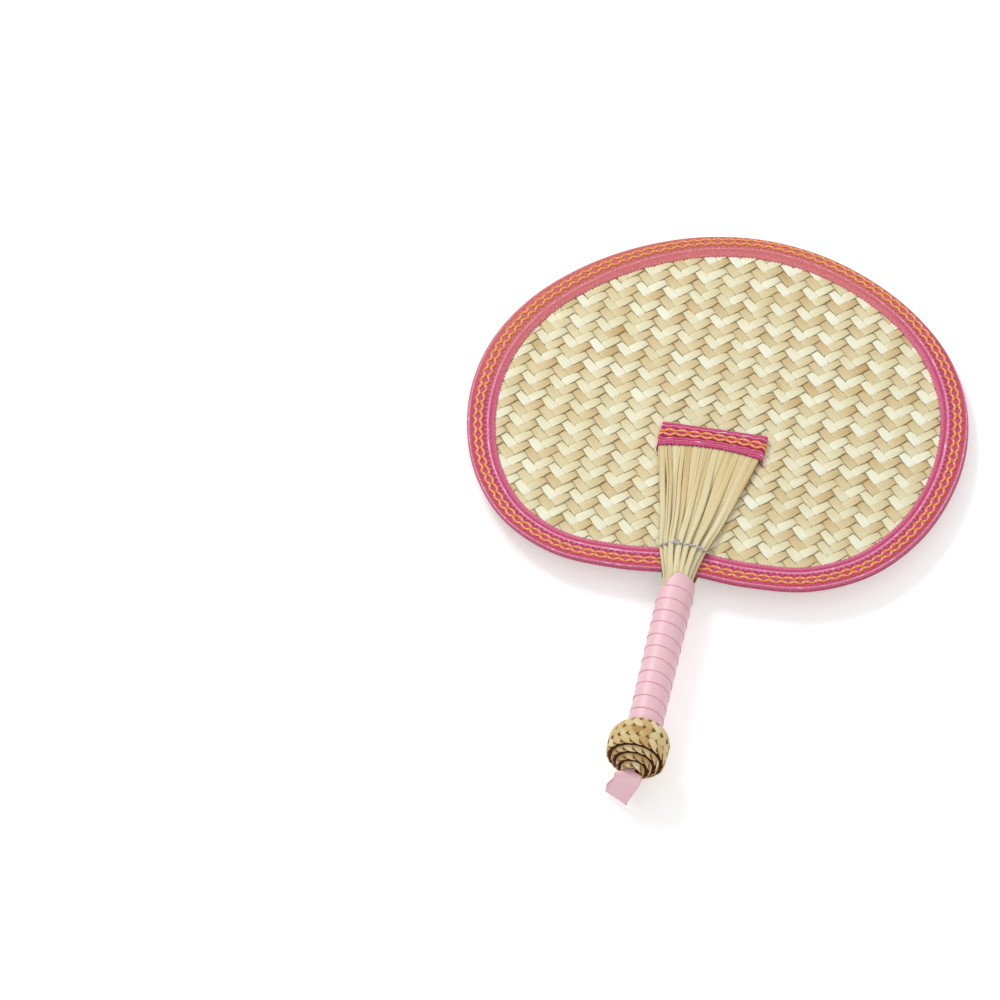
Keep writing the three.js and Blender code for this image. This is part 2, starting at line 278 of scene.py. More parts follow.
def new_material(name: str) -> tuple[bpy.types.Material, bpy.types.NodeTree, bpy.types.Node]:
    """Start a material with only its output node.

    Args:
        name: the finish in plain words.

    Returns:
        The material, its node tree and the output node.
    """
    material = bpy.data.materials.new(name)
    material.use_nodes = True
    tree = material.node_tree
    tree.nodes.clear()
    return material, tree, add_node(tree, "ShaderNodeOutputMaterial")


def add_piece(
    name: str, patch: Patch, material: bpy.types.Material, nodes: Sequence[str]
) -> bpy.types.Object:
    """Make a surface into a finished piece that stands for CAD nodes.

    Args:
        name: the piece's plain name.
        patch: its surface in the fan's axes.
        material: its finish.
        nodes: CAD nodes that it replaces.

    Returns:
        The piece, not yet riding on a body.
    """
    mesh = bpy.data.meshes.new(name)
    corners = patch.faces.ravel()
    mesh.vertices.add(len(patch.points))
    mesh.vertices.foreach_set("co", FAN.place(patch.points).astype(np.float32).ravel())
    mesh.loops.add(len(corners))
    mesh.loops.foreach_set("vertex_index", corners.astype(np.int32))
    mesh.polygons.add(len(patch.faces))
    mesh.polygons.foreach_set("loop_start", np.arange(0, len(corners), 4, dtype=np.int32))
    mesh.update(calc_edges=True)
    mesh.polygons.foreach_set("use_smooth", np.ones(len(patch.faces), dtype=bool))
    lie = mesh.uv_layers.new(name=LIE)
    lie.data.foreach_set("uv", patch.lie[corners].astype(np.float32).ravel())
    for shade, values in patch.shades.items():
        mesh.attributes.new(shade, "FLOAT", "POINT").data.foreach_set("value", values.astype(np.float32))
    mesh.materials.append(material)
    piece = bpy.data.objects.new(name, mesh)
    bpy.context.scene.collection.objects.link(piece)
    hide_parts(*nodes)
    LOG.info("%s: %d faces", name, len(patch.faces))
    return piece


@dataclass(frozen=True)
class StrawFinish:
    """Dried split straw: a waxy satin skin with fine fibres, bleached unevenly, browner raw edges and painted
    gap shade.
    """

    name: str
    shades: tuple[tuple[float, str], ...]
    edge_and_shadow_colour: str
    edge_and_shadow_share: float
    edge_start: float
    fibre_width: float = 0.55
    fibre_length: float = 16.0
    fibre_detail: float = 3.0
    fibre_breaks: float = 0.6
    fibre_contrast: float = 0.35
    fibre_depth: float = 0.05
    fibre_relief: float = 0.5
    roughness: float = 0.46
    gloss: float = 0.25

    def material(self) -> bpy.types.Material:
        """Shade by the tone of the strip, streaked by noise drawn out along it, and browned at its edges with
        painted shade.

        Returns:
            The finish.
        """
        material, tree, output = new_material(self.name)
        lie = add_node(tree, "ShaderNodeUVMap", {"uv_map": LIE})
        drawn = {"Scale": (1 / self.fibre_length, 1 / self.fibre_width, 1)}
        along = add_node(tree, "ShaderNodeMapping", drawn, {"Vector": lie.outputs["UV"]})
        grain = {"Scale": 1.0, "Detail": self.fibre_detail, "Roughness": self.fibre_breaks}
        fibre = add_node(tree, "ShaderNodeTexNoise", grain, {"Vector": along.outputs["Vector"]})
        tone = add_node(tree, "ShaderNodeAttribute", {"attribute_name": "tone"})
        streaked = add_node(
            tree,
            "ShaderNodeMath",
            {"operation": "MULTIPLY_ADD", 1: self.fibre_contrast},
            {0: fibre.outputs["Fac"], 2: tone.outputs["Fac"]},
        )
        centred = add_node(
            tree,
            "ShaderNodeMath",
            {"operation": "SUBTRACT", 1: self.fibre_contrast / 2},
            {0: streaked.outputs["Value"]},
        )
        ramp = add_node(tree, "ShaderNodeValToRGB", {"stops": self.shades}, {"Fac": centred.outputs["Value"]})
        # The edge colour is the raw brown edge together with painted shade in the gaps and where faces dive
        edge = add_node(tree, "ShaderNodeAttribute", {"attribute_name": "edge"})
        browned_and_shaded = add_node(
            tree,
            "ShaderNodeMapRange",
            {"interpolation_type": "SMOOTHSTEP", "From Min": self.edge_start, "To Max": self.edge_and_shadow_share},
            {"Value": edge.outputs["Fac"]},
        )
        colour = add_node(
            tree,
            "ShaderNodeMix",
            {"data_type": "RGBA", 7: linear(self.edge_and_shadow_colour)},
            {0: browned_and_shaded.outputs["Result"], 6: ramp.outputs["Color"]},
        )
        bump = add_node(
            tree,
            "ShaderNodeBump",
            {"Strength": self.fibre_relief, "Distance": self.fibre_depth * MILLIMETRE},
            {"Height": fibre.outputs["Fac"]},
        )
        skin = add_node(
            tree,
            "ShaderNodeBsdfPrincipled",
            {"Roughness": self.roughness, "Specular IOR Level": self.gloss},
            {"Base Color": colour.outputs[2], "Normal": bump.outputs["Normal"]},
        )
        tree.links.new(skin.outputs["BSDF"], output.inputs["Surface"])
        return material


@dataclass(frozen=True)
class TrimFinish:
    """Machine-woven ribbon: pink bands with painted cord highlight and groove shade, stitch rows, painted
    glints, a salmon-tinted end.
    """

    name: str = "woven pink ribbon"
    width: float = 14.49
    # Bands mix the woven pattern with painted light and shade: pale on raised cords, darker in grooves and on
    # the turned-down outer wall
    bands: tuple[tuple[float, str], ...] = (
        (0.0, "#A8244E"),
        (1.1, "#CC5A7C"),
        (1.9, "#D66A8A"),
        (2.4, "#F0A0B6"),
        (2.9, "#D0567C"),
        (3.6, "#CC466E"),
        (5.0, "#CE4678"),
        (6.8, "#CE4C80"),
        (8.6, "#CE4678"),
        (9.8, "#C4386A"),
        (10.4, "#D8668E"),
        (11.0, "#E080A0"),
        (11.6, "#F6A2BA"),
        (12.1, "#D65A82"),
        (12.7, "#C6406E"),
        (13.6, "#D65C86"),
        (14.4, "#DC7090"),
    )
    faded_shade: str = "#D87E6C"
    faded_share: float = 0.6
    # Glints: painted highlight dashes where silvery threads on the ridges catch the light
    glint_shade: str = "#FBF3F5"
    glint_length: float = 5.5
    glint_density: float = 1.1
    glint_range: tuple[float, float] = (0.6, 0.7)
    glint_bands: tuple[tuple[float, float], ...] = ((2.2, 2.7), (11.3, 11.9))
    stitch_shade: str = "#B23A6C"
    stitch_ease: float = 0.5
    stitches: tuple[tuple[float, float, float, float], ...] = ((9.7, 10.9, 3.125, -0.3),)
    # Real threads are too fine to show, so these are drawn coarser
    thread_width: float = 0.9
    thread_length: float = 1.5
    thread_depth: float = 0.1
    thread_relief: float = 0.7
    thread_range: tuple[float, float] = (0.3, 0.7)
    thread_shading: tuple[float, float] = (0.76, 1.16)
    roughness: float = 0.8
    sheen: float = 0.25
    sheen_roughness: float = 0.4

    def material(self) -> bpy.types.Material:
        """Shade by the distance across the ribbon, with its painted light and shade, then paint glints,
        stitch, tint and weave it.

        Returns:
            The finish.
        """
        material, tree, output = new_material(self.name)
        lie = add_node(tree, "ShaderNodeUVMap", {"uv_map": LIE})
        parts = add_node(tree, "ShaderNodeSeparateXYZ", links={"Vector": lie.outputs["UV"]})
        share = add_node(
            tree, "ShaderNodeMath", {"operation": "DIVIDE", 1: self.width}, {0: parts.outputs["Y"]}
        )
        stops = [(place / self.width, shade) for place, shade in self.bands]
        ramp = add_node(tree, "ShaderNodeValToRGB", {"stops": stops}, {"Fac": share.outputs["Value"]})
        shade = ramp.outputs["Color"]
        drawn = {"Scale": (1 / self.glint_length, self.glint_density, 1)}
        along = add_node(tree, "ShaderNodeMapping", drawn, {"Vector": lie.outputs["UV"]})
        noise = add_node(
            tree, "ShaderNodeTexNoise", {"Scale": 1.0, "Detail": 1.0}, {"Vector": along.outputs["Vector"]}
        )
        low, high = self.glint_range
        spark = add_node(
            tree,
            "ShaderNodeMapRange",
            {"interpolation_type": "SMOOTHSTEP", "From Min": low, "From Max": high},
            {"Value": noise.outputs["Fac"]},
        )
        # Painted glints on the ridges, then the stitch rows
        marks = [(*band, self.glint_shade, spark.outputs["Result"]) for band in self.glint_bands]
        for low, high, pitch, start in self.stitches:
            turn = add_node(
                tree,
                "ShaderNodeMath",
                {"operation": "MULTIPLY", 1: 2 * np.pi / pitch},
                {0: parts.outputs["X"]},
            )
            beat = add_node(tree, "ShaderNodeMath", {"operation": "SINE"}, {0: turn.outputs["Value"]})
            full = min(1.0, start + self.stitch_ease)
            pulse = add_node(
                tree,
                "ShaderNodeMapRange",
                {"interpolation_type": "SMOOTHSTEP", "From Min": start, "From Max": full},
                {"Value": beat.outputs["Value"]},
            )
            marks.append((low, high, self.stitch_shade, pulse.outputs["Result"]))
        for low, high, mark_shade, mask in marks:
            band = add_node(
                tree,
                "ShaderNodeMath",
                {"operation": "COMPARE", 1: (low + high) / 2, 2: (high - low) / 2},
                {0: parts.outputs["Y"]},
            )
            marked = add_node(
                tree, "ShaderNodeMath", {"operation": "MULTIPLY"}, {0: mask, 1: band.outputs["Value"]}
            )
            dyed = add_node(
                tree,
                "ShaderNodeMix",
                {"data_type": "RGBA", 7: linear(mark_shade)},
                {0: marked.outputs["Value"], 6: shade},
            )
            shade = dyed.outputs[2]
        fade = add_node(tree, "ShaderNodeAttribute", {"attribute_name": "fade"})
        fading = add_node(
            tree, "ShaderNodeMath", {"operation": "MULTIPLY", 1: self.faded_share}, {0: fade.outputs["Fac"]}
        )
        faded = add_node(
            tree,
            "ShaderNodeMix",
            {"data_type": "RGBA", 7: linear(self.faded_shade)},
            {0: fading.outputs["Value"], 6: shade},
        )
        woven = {"Scale": (1 / self.thread_width, 1 / self.thread_length, 1)}
        rib_place = add_node(tree, "ShaderNodeMapping", woven, {"Vector": lie.outputs["UV"]})
        rib = add_node(
            tree, "ShaderNodeTexNoise", {"Scale": 1.0, "Detail": 1.0}, {"Vector": rib_place.outputs["Vector"]}
        )
        (low, high), (dark, bright) = self.thread_range, self.thread_shading
        groove = add_node(
            tree,
            "ShaderNodeMapRange",
            {"From Min": low, "From Max": high, "To Min": dark, "To Max": bright},
            {"Value": rib.outputs["Fac"]},
        )
        colour = add_node(
            tree,
            "ShaderNodeMix",
            {"data_type": "RGBA", "blend_type": "MULTIPLY", 0: 1.0},
            {6: faded.outputs[2], 7: groove.outputs["Result"]},
        )
        bump = add_node(
            tree,
            "ShaderNodeBump",
            {"Strength": self.thread_relief, "Distance": self.thread_depth * MILLIMETRE},
            {"Height": rib.outputs["Fac"]},
        )
        cloth = add_node(
            tree,
            "ShaderNodeBsdfPrincipled",
            {
                "Roughness": self.roughness,
                "Sheen Weight": self.sheen,
                "Sheen Roughness": self.sheen_roughness,
            },
            {"Base Color": colour.outputs[2], "Normal": bump.outputs["Normal"]},
        )
        tree.links.new(cloth.outputs["BSDF"], output.inputs["Surface"])
        return material


@dataclass(frozen=True)
class ThreadFinish:
    """Twisted thread: slanting bands of painted light and shade on its twist, painted shade where it dips,
    and a soft gloss.
    """

    name: str
    painted_lit_side: str
    painted_shaded_side: str
    deep_tone_and_shadow: str
    faded_shade: str
    twist_pitch: float
    twist_stops: tuple[float, float] = (0.1, 0.75)
    twist_distortion: float = 0.6
    twist_depth: float = 0.1
    twist_relief: float = 0.6
    roughness: float = 0.5
    sheen: float = 0.3

    def material(self) -> bpy.types.Material:
        """Paint light and shade in slanting bands along the twist, paint shade where the thread dips, then
        fade it.

        Returns:
            The finish.
        """
        material, tree, output = new_material(self.name)
        lie = add_node(tree, "ShaderNodeUVMap", {"uv_map": LIE})
        drawn = {"Scale": (1 / self.twist_pitch, 1, 0)}
        along = add_node(tree, "ShaderNodeMapping", drawn, {"Vector": lie.outputs["UV"]})
        twist = add_node(
            tree,
            "ShaderNodeTexWave",
            {"bands_direction": "DIAGONAL", "Scale": WAVE_UNIT, "Distortion": self.twist_distortion},
            {"Vector": along.outputs["Vector"]},
        )
        ramp = add_node(
            tree,
            "ShaderNodeValToRGB",
            {"stops": list(zip(self.twist_stops, (self.painted_shaded_side, self.painted_lit_side)))},
            {"Fac": twist.outputs["Fac"]},
        )
        # Painted shade where the cord dips or crosses the other
        dip = add_node(tree, "ShaderNodeAttribute", {"attribute_name": "dip"})
        shaded = add_node(
            tree,
            "ShaderNodeMix",
            {"data_type": "RGBA", 7: linear(self.deep_tone_and_shadow)},
            {0: dip.outputs["Fac"], 6: ramp.outputs["Color"]},
        )
        fade = add_node(tree, "ShaderNodeAttribute", {"attribute_name": "fade"})
        colour = add_node(
            tree,
            "ShaderNodeMix",
            {"data_type": "RGBA", 7: linear(self.faded_shade)},
            {0: fade.outputs["Fac"], 6: shaded.outputs[2]},
        )
        bump = add_node(
            tree,
            "ShaderNodeBump",
            {"Strength": self.twist_relief, "Distance": self.twist_depth * MILLIMETRE},
            {"Height": twist.outputs["Fac"]},
        )
        yarn = add_node(
            tree,
            "ShaderNodeBsdfPrincipled",
            {"Roughness": self.roughness, "Sheen Weight": self.sheen},
            {"Base Color": colour.outputs[2], "Normal": bump.outputs["Normal"]},
        )
        tree.links.new(yarn.outputs["BSDF"], output.inputs["Surface"])
        return material


@dataclass(frozen=True)
class SatinFinish:
    """Polyester satin: a smooth pale face with a broad sheen, faint lines along it and edges darkened by
    painted shade.
    """

    name: str = "pale pink satin"
    shade: str = "#F6C8D2"
    deep_tone_and_shadow: str = "#EDABBC"
    line_width: float = 1.6
    line_length: float = 40.0
    line_end: float = 0.44
    edge_range: tuple[float, float] = (0.86, 1.0)
    edge_and_shadow_share: float = 0.8
    # Real weft is too fine to show, so it is drawn coarser
    weft_pitch: float = 0.45
    weft_depth: float = 0.04
    weft_relief: float = 0.15
    roughness: float = 0.42
    sheen: float = 0.35
    sheen_roughness: float = 0.35

    def material(self) -> bpy.types.Material:
        """Shade by faint drawn-out noise and paint shade along both edges.

        Returns:
            The finish.
        """
        material, tree, output = new_material(self.name)
        lie = add_node(tree, "ShaderNodeUVMap", {"uv_map": LIE})
        drawn = {"Scale": (1 / self.line_length, 1 / self.line_width, 1)}
        along = add_node(tree, "ShaderNodeMapping", drawn, {"Vector": lie.outputs["UV"]})
        noise = add_node(
            tree, "ShaderNodeTexNoise", {"Scale": 1.0, "Detail": 2.0}, {"Vector": along.outputs["Vector"]}
        )
        ramp = add_node(
            tree,
            "ShaderNodeValToRGB",
            {"stops": [(0.0, self.deep_tone_and_shadow), (self.line_end, self.shade)]},
            {"Fac": noise.outputs["Fac"]},
        )
        # Painted shade along both edges, where each turn laps over the one below
        edge = add_node(tree, "ShaderNodeAttribute", {"attribute_name": "edge"})
        low, high = self.edge_range
        eased = {"interpolation_type": "SMOOTHSTEP", "From Min": low, "From Max": high}
        shaded = add_node(
            tree,
            "ShaderNodeMapRange",
            {**eased, "To Max": self.edge_and_shadow_share},
            {"Value": edge.outputs["Fac"]},
        )
        colour = add_node(
            tree,
            "ShaderNodeMix",
            {"data_type": "RGBA", 7: linear(self.deep_tone_and_shadow)},
            {0: shaded.outputs["Result"], 6: ramp.outputs["Color"]},
        )
        ribbed = {"Scale": (1 / self.weft_pitch, 0, 0)}
        place = add_node(tree, "ShaderNodeMapping", ribbed, {"Vector": lie.outputs["UV"]})
        weft = add_node(tree, "ShaderNodeTexWave", {"Scale": WAVE_UNIT}, {"Vector": place.outputs["Vector"]})
        bump = add_node(
            tree,
            "ShaderNodeBump",
            {"Strength": self.weft_relief, "Distance": self.weft_depth * MILLIMETRE},
            {"Height": weft.outputs["Fac"]},
        )
        cloth = add_node(
            tree,
            "ShaderNodeBsdfPrincipled",
            {
                "Roughness": self.roughness,
                "Sheen Weight": self.sheen,
                "Sheen Roughness": self.sheen_roughness,
            },
            {"Base Color": colour.outputs[2], "Normal": bump.outputs["Normal"]},
        )
        tree.links.new(cloth.outputs["BSDF"], output.inputs["Surface"])
        return material


@dataclass(frozen=True)
class RimOutline:
    """The panel's flattened oval, as shares of its half width and of its height, far end to handle."""

    width: float = 250.0
    height: float = 223.0
    measuring_steps: int = 2000
    shares: tuple[tuple[float, float], ...] = (
        (0, 1),
        (0.251, 0.98),
        (0.484, 0.924),
        (0.689, 0.84),
        (0.854, 0.732),
        (0.961, 0.604),
        (1, 0.465),
        (0.972, 0.324),
        (0.884, 0.192),
        (0.728, 0.081),
        (0.507, 0.014),
        (0.255, 0),
        (0, 0.01),
    )

    def sample(self, count: int) -> tuple[np.ndarray, np.ndarray, np.ndarray]:
        """Walk clockwise round the rim from the far end at equal steps.

        Args:
            count: number of steps round the rim.

        Returns:
            Points, unit directions into the panel, and the distance walked, per step.
        """
        right = np.array(self.shares) * [self.width / 2, self.height]
        left = right[-2:0:-1] * [-1, 1]
        points = catmull_rom(np.vstack([right, left]), count, closed=True)
        along = np.roll(points, -1, axis=0) - np.roll(points, 1, axis=0)
        step = np.linalg.norm(along, axis=1) / 2
        along = unit(along)
        inward = np.stack([along[:, 1], -along[:, 0]], axis=1)
        return points, inward, np.concatenate([[0], np.cumsum(step[:-1])])

    def length(self) -> float:
        """Distance once round the rim."""
        points = self.sample(self.measuring_steps)[0]
        return float(np.sum(np.linalg.norm(points - np.roll(points, 1, axis=0), axis=1)))


RIM = RimOutline()


def ribbon_ring(
    middle: np.ndarray, across: np.ndarray, normal: np.ndarray, profile: np.ndarray
) -> np.ndarray:
    """Set a flat profile across a path.

    Args:
        middle: path points, by station and axis.
        across: unit vectors across the strip, by station and axis.
        normal: unit vectors out of the strip's face, by station and axis.
        profile: distances across and out, by point and axis, or by station, point and axis.

    Returns:
        Ring points by station, point and axis: middle + across * u + normal * w.
    """
    flat = np.broadcast_to(profile, (len(middle), *profile.shape[-2:]))
    return (
        middle[:, None, :]
        + across[:, None, :] * flat[..., 0:1]
        + normal[:, None, :] * flat[..., 1:2]
    )


def strip_profile(half_width: float, thickness: float) -> np.ndarray:
    """Section of a flat straw strip, thinner towards its edges.

    Args:
        half_width: half its width.
        thickness: its thickness in the middle.

    Returns:
        Distances across and out: five points over the top, one on a side, five underneath, one on a side.
    """
    top = np.stack([STRIP_PLACES * half_width, STRIP_HEIGHTS * thickness / 2], axis=1)
    side = np.array([[half_width, 0.0]])
    return np.vstack([top, side, top[::-1] * [1, -1], -side])


def strip_edge(rise: np.ndarray, front: np.ndarray, back: np.ndarray, dive: float = 1.0) -> np.ndarray:
    """Share of raw brown edge and painted shade round a strip's section.

    It browns on its sides, and takes painted shade where a face dives under another strip.

    Args:
        rise: height of the strip, from -1 under the others to 1 over them, by station.
        front: how far the front face and its sides brown, by station.
        back: how far the back face and its sides brown, by station.
        dive: how far painted shade browns a face where it dives.

    Returns:
        Shares by station and point of the section.
    """
    # Painted shade browns each face where it dives under the crossing strip
    over = np.maximum(STRIP_BROWN_AND_SHADE, dive * smooth(rise, 0.5, -0.5)[:, None]) * front[:, None]
    under = np.maximum(STRIP_BROWN_AND_SHADE, dive * smooth(-rise, 0.5, -0.5)[:, None]) * back[:, None]
    side = np.where(rise > 0, front, back)[:, None]
    return np.concatenate([over, side, under, side], axis=1)


@dataclass(frozen=True)
class StrandSet:
    """Parallel strands of one direction: slant, spacing, step of the over and under pattern, and tones."""

    slant: float
    pitch: float
    lead: float
    first: int
    last: int
    tone: float
    sheen_and_bleach_even: float

    def across(self) -> np.ndarray:
        """Unit vector across the strands."""
        return np.array([np.cos(self.slant), np.sin(self.slant)])

    def along(self) -> np.ndarray:
        """Unit vector along the strands."""
        return np.array([-np.sin(self.slant), np.cos(self.slant)])


@dataclass(frozen=True)
class WovenPanel:
    """Mat of flat straw strands on the slant, two over and two under, whose floats line up as chevrons."""

    origin: tuple[float, float] = (-5.717, 99.872)
    # Set tones and paler alternate strands: partly real bleaching, partly painted sheen on the leaf's shiny
    # side
    rising: StrandSet = StrandSet(np.radians(133.287), 4.904, 1.5, -30, 30, 0.55, -0.12)
    falling: StrandSet = StrandSet(np.radians(42.951), 5.027, -1.5, -30, 30, 0.49, -0.18)
    rim_steps: int = 1600
    wave_span: int = 40
    end_room: float = 0.3
    thickness: float = 0.44
    lift: float = 0.46
    crown: float = 0.05
    bend: float = 3.6
    shortening: float = 0.06
    edge_inset: float = 1.3
    knots: tuple[float, ...] = (0.0, 0.1, 0.24, 0.55, 1.0, 1.45, 1.76, 1.9)
    sway: float = 0.2
    sway_lengths: tuple[float, float] = (22.0, 40.0)
    tilt: float = np.radians(2.5)
    width_spread: float = 0.02
    strand_spread: float = 0.03
    float_spread: float = 0.065
    light_spread: float = 0.2
    even_place: tuple[float, float] = (-5.0, 85.0)
    even_aspect: float = 0.75
    even_reach: tuple[float, float] = (15.0, 70.0)
    # Painted highlight: each float paler at its lower end and darker at its upper end
    float_highlight_grade: float = 0.13
    pinch: float = 0.26
    overlap: float = 0.03
    # How far painted shade browns a face where it dives
    dive: float = 0.65
    map_stride: float = 400.0
    map_strides: float = 9.0

    def ends(self, own: StrandSet, index: int) -> tuple[float, float] | None:
        """Find where one strand meets the rim, with both of its edges inside.

        Args:
            own: the strand's set.
            index: its number in the set.

        Returns:
            Distances along the strand at its two ends, or None where it misses the panel.
        """
        points, inward, _ = RIM.sample(self.rim_steps)
        local = points + inward * self.edge_inset - np.array(self.origin)
        along = local @ own.along()
        low, high = [], []
        for edge in (-0.5, 0.5):
            off = local @ own.across() - (index + edge) * own.pitch
            ahead, along_ahead = np.roll(off, -1), np.roll(along, -1)
            crossing = np.flatnonzero(off * ahead < 0)
            if len(crossing) < 2:
                return None
            share = off[crossing] / (off[crossing] - ahead[crossing])
            met = along[crossing] + share * (along_ahead[crossing] - along[crossing])
            low.append(float(met.min()))
            high.append(float(met.max()))
        return max(low), min(high)

    def strand(self, own: StrandSet, other: StrandSet, index: int) -> Patch | None:
        """Work out one strand.

        Its height is a wave of four crossings, flattened by tanh so that it lies flat over two strands and
        then dives under two. A crown bows each float outwards and a small random tilt turns it. Each float
        has a painted highlight at its lower end, and is narrower and browned with painted shade where its
        upper end dives. Every second strand is paler, partly bleaching and partly painted sheen, so that
        rows of pale and tan chevrons alternate, most clearly away from the middle.

        Args:
            own: the strand's set.
            other: the set that it crosses.
            index: its number in the set.

        Returns:
            The strand's surface, or None where it misses the panel.
        """
        ends = self.ends(own, index)
        if ends is None or ends[1] - ends[0] < 2 * own.pitch:
            return None
        # Each strand draws from a seed of its own, so one strand's draws don't shift the next one's
        rng = np.random.default_rng([SEED, index + 100, int(own.lead * 2) + 10])
        pace = own.along() @ other.across() / other.pitch
        shift = index * own.pitch * (own.across() @ other.across()) / other.pitch - index + own.lead
        waves = np.arange(-self.wave_span, self.wave_span)[:, None] * 2 + np.array(self.knots)
        s = np.sort((waves.ravel() - shift) / pace)
        inside = (s > ends[0] + self.end_room) & (s < ends[1] - self.end_room)
        s = np.concatenate([ends[:1], s[inside], ends[1:]])
        sway = self.sway * np.sin(s / rng.uniform(*self.sway_lengths) + rng.uniform(0, PHASES))
        local = (index * own.pitch + sway)[:, None] * own.across() + s[:, None] * own.along()
        phase = local @ other.across() / other.pitch - index + own.lead
        swing = np.sin(np.pi * (phase + self.overlap) / 2)
        rise = np.tanh(self.bend * (swing - self.shortening)) / np.tanh(self.bend)
        number = np.floor(phase / 2).astype(int)
        number -= number.min()
        tilt = rng.normal(0, self.tilt, number.max() + 1)[number] * np.clip(np.abs(swing) * 2, 0, 1)
        half = own.pitch / 2 * (1 + rng.normal(0, self.width_spread))
        profile = strip_profile(half, self.thickness)
        bow = 1 - (profile[:, 0] / half) ** 2
        shading_phase = np.sin(np.pi * phase / 4) ** 2
        upper = np.where(rise > 0, shading_phase, 1 - shading_phase) ** 4
        width = profile[:, 0] * (1 - self.pinch * upper[:, None])
        height = (self.lift + self.crown * bow) * rise[:, None] + profile[:, 0] * np.tan(tilt)[:, None]
        shaped = np.stack([width, profile[:, 1] + height], axis=-1)
        middle = np.column_stack([np.array(self.origin) + local, np.zeros(len(s))])
        across = np.broadcast_to([*own.across(), 0.0], middle.shape)
        rings = ribbon_ring(middle, across, np.broadcast_to([0.0, 0.0, 1.0], middle.shape), shaped)
        x, y = self.even_place
        off_middle = np.hypot(middle[:, 0] - x, (middle[:, 1] - y) / self.even_aspect)
        uneven = 0.5 + 0.5 * smooth(off_middle, *self.even_reach)
        # Every second strand paler: partly bleaching, partly painted sheen
        light = own.sheen_and_bleach_even * (-1) ** index * rng.normal(1, self.light_spread) * uneven
        # The grade paints a highlight at each float's lower end
        base = own.tone + light + rng.normal(0, self.strand_spread) + self.float_highlight_grade * (np.mod(phase, 2) - 1)
        tone = np.clip(base + rng.normal(0, self.float_spread, number.max() + 1)[number], 0.02, 0.98)
        lie = pair((s + self.map_stride * rng.uniform(0, self.map_strides))[:, None], profile[:, 0])
        # Edge shares: raw brown sides, and painted shade where the faces dive
        edge = strip_edge(rise, shading_phase**2, (1 - shading_phase) ** 2, self.dive)
        return sweep(rings, lie, tone=tone[:, None], edge=edge)

    def build(self, finish: StrawFinish) -> list[bpy.types.Object]:
        """Weave both sets of strands.

        Args:
            finish: the split straw that dresses them.

        Returns:
            The two sets, each as one piece.
        """
        material = finish.material()
        pieces = []
        for name, own, other in (
            ("rising_strands", self.rising, self.falling),
            ("falling_strands", self.falling, self.rising),
        ):
            strands = [self.strand(own, other, k) for k in range(own.first, own.last + 1)]
            patch = join([strand for strand in strands if strand is not None])
            pieces.append(add_piece(name, patch, material, ["woven_panel"]))
        return pieces


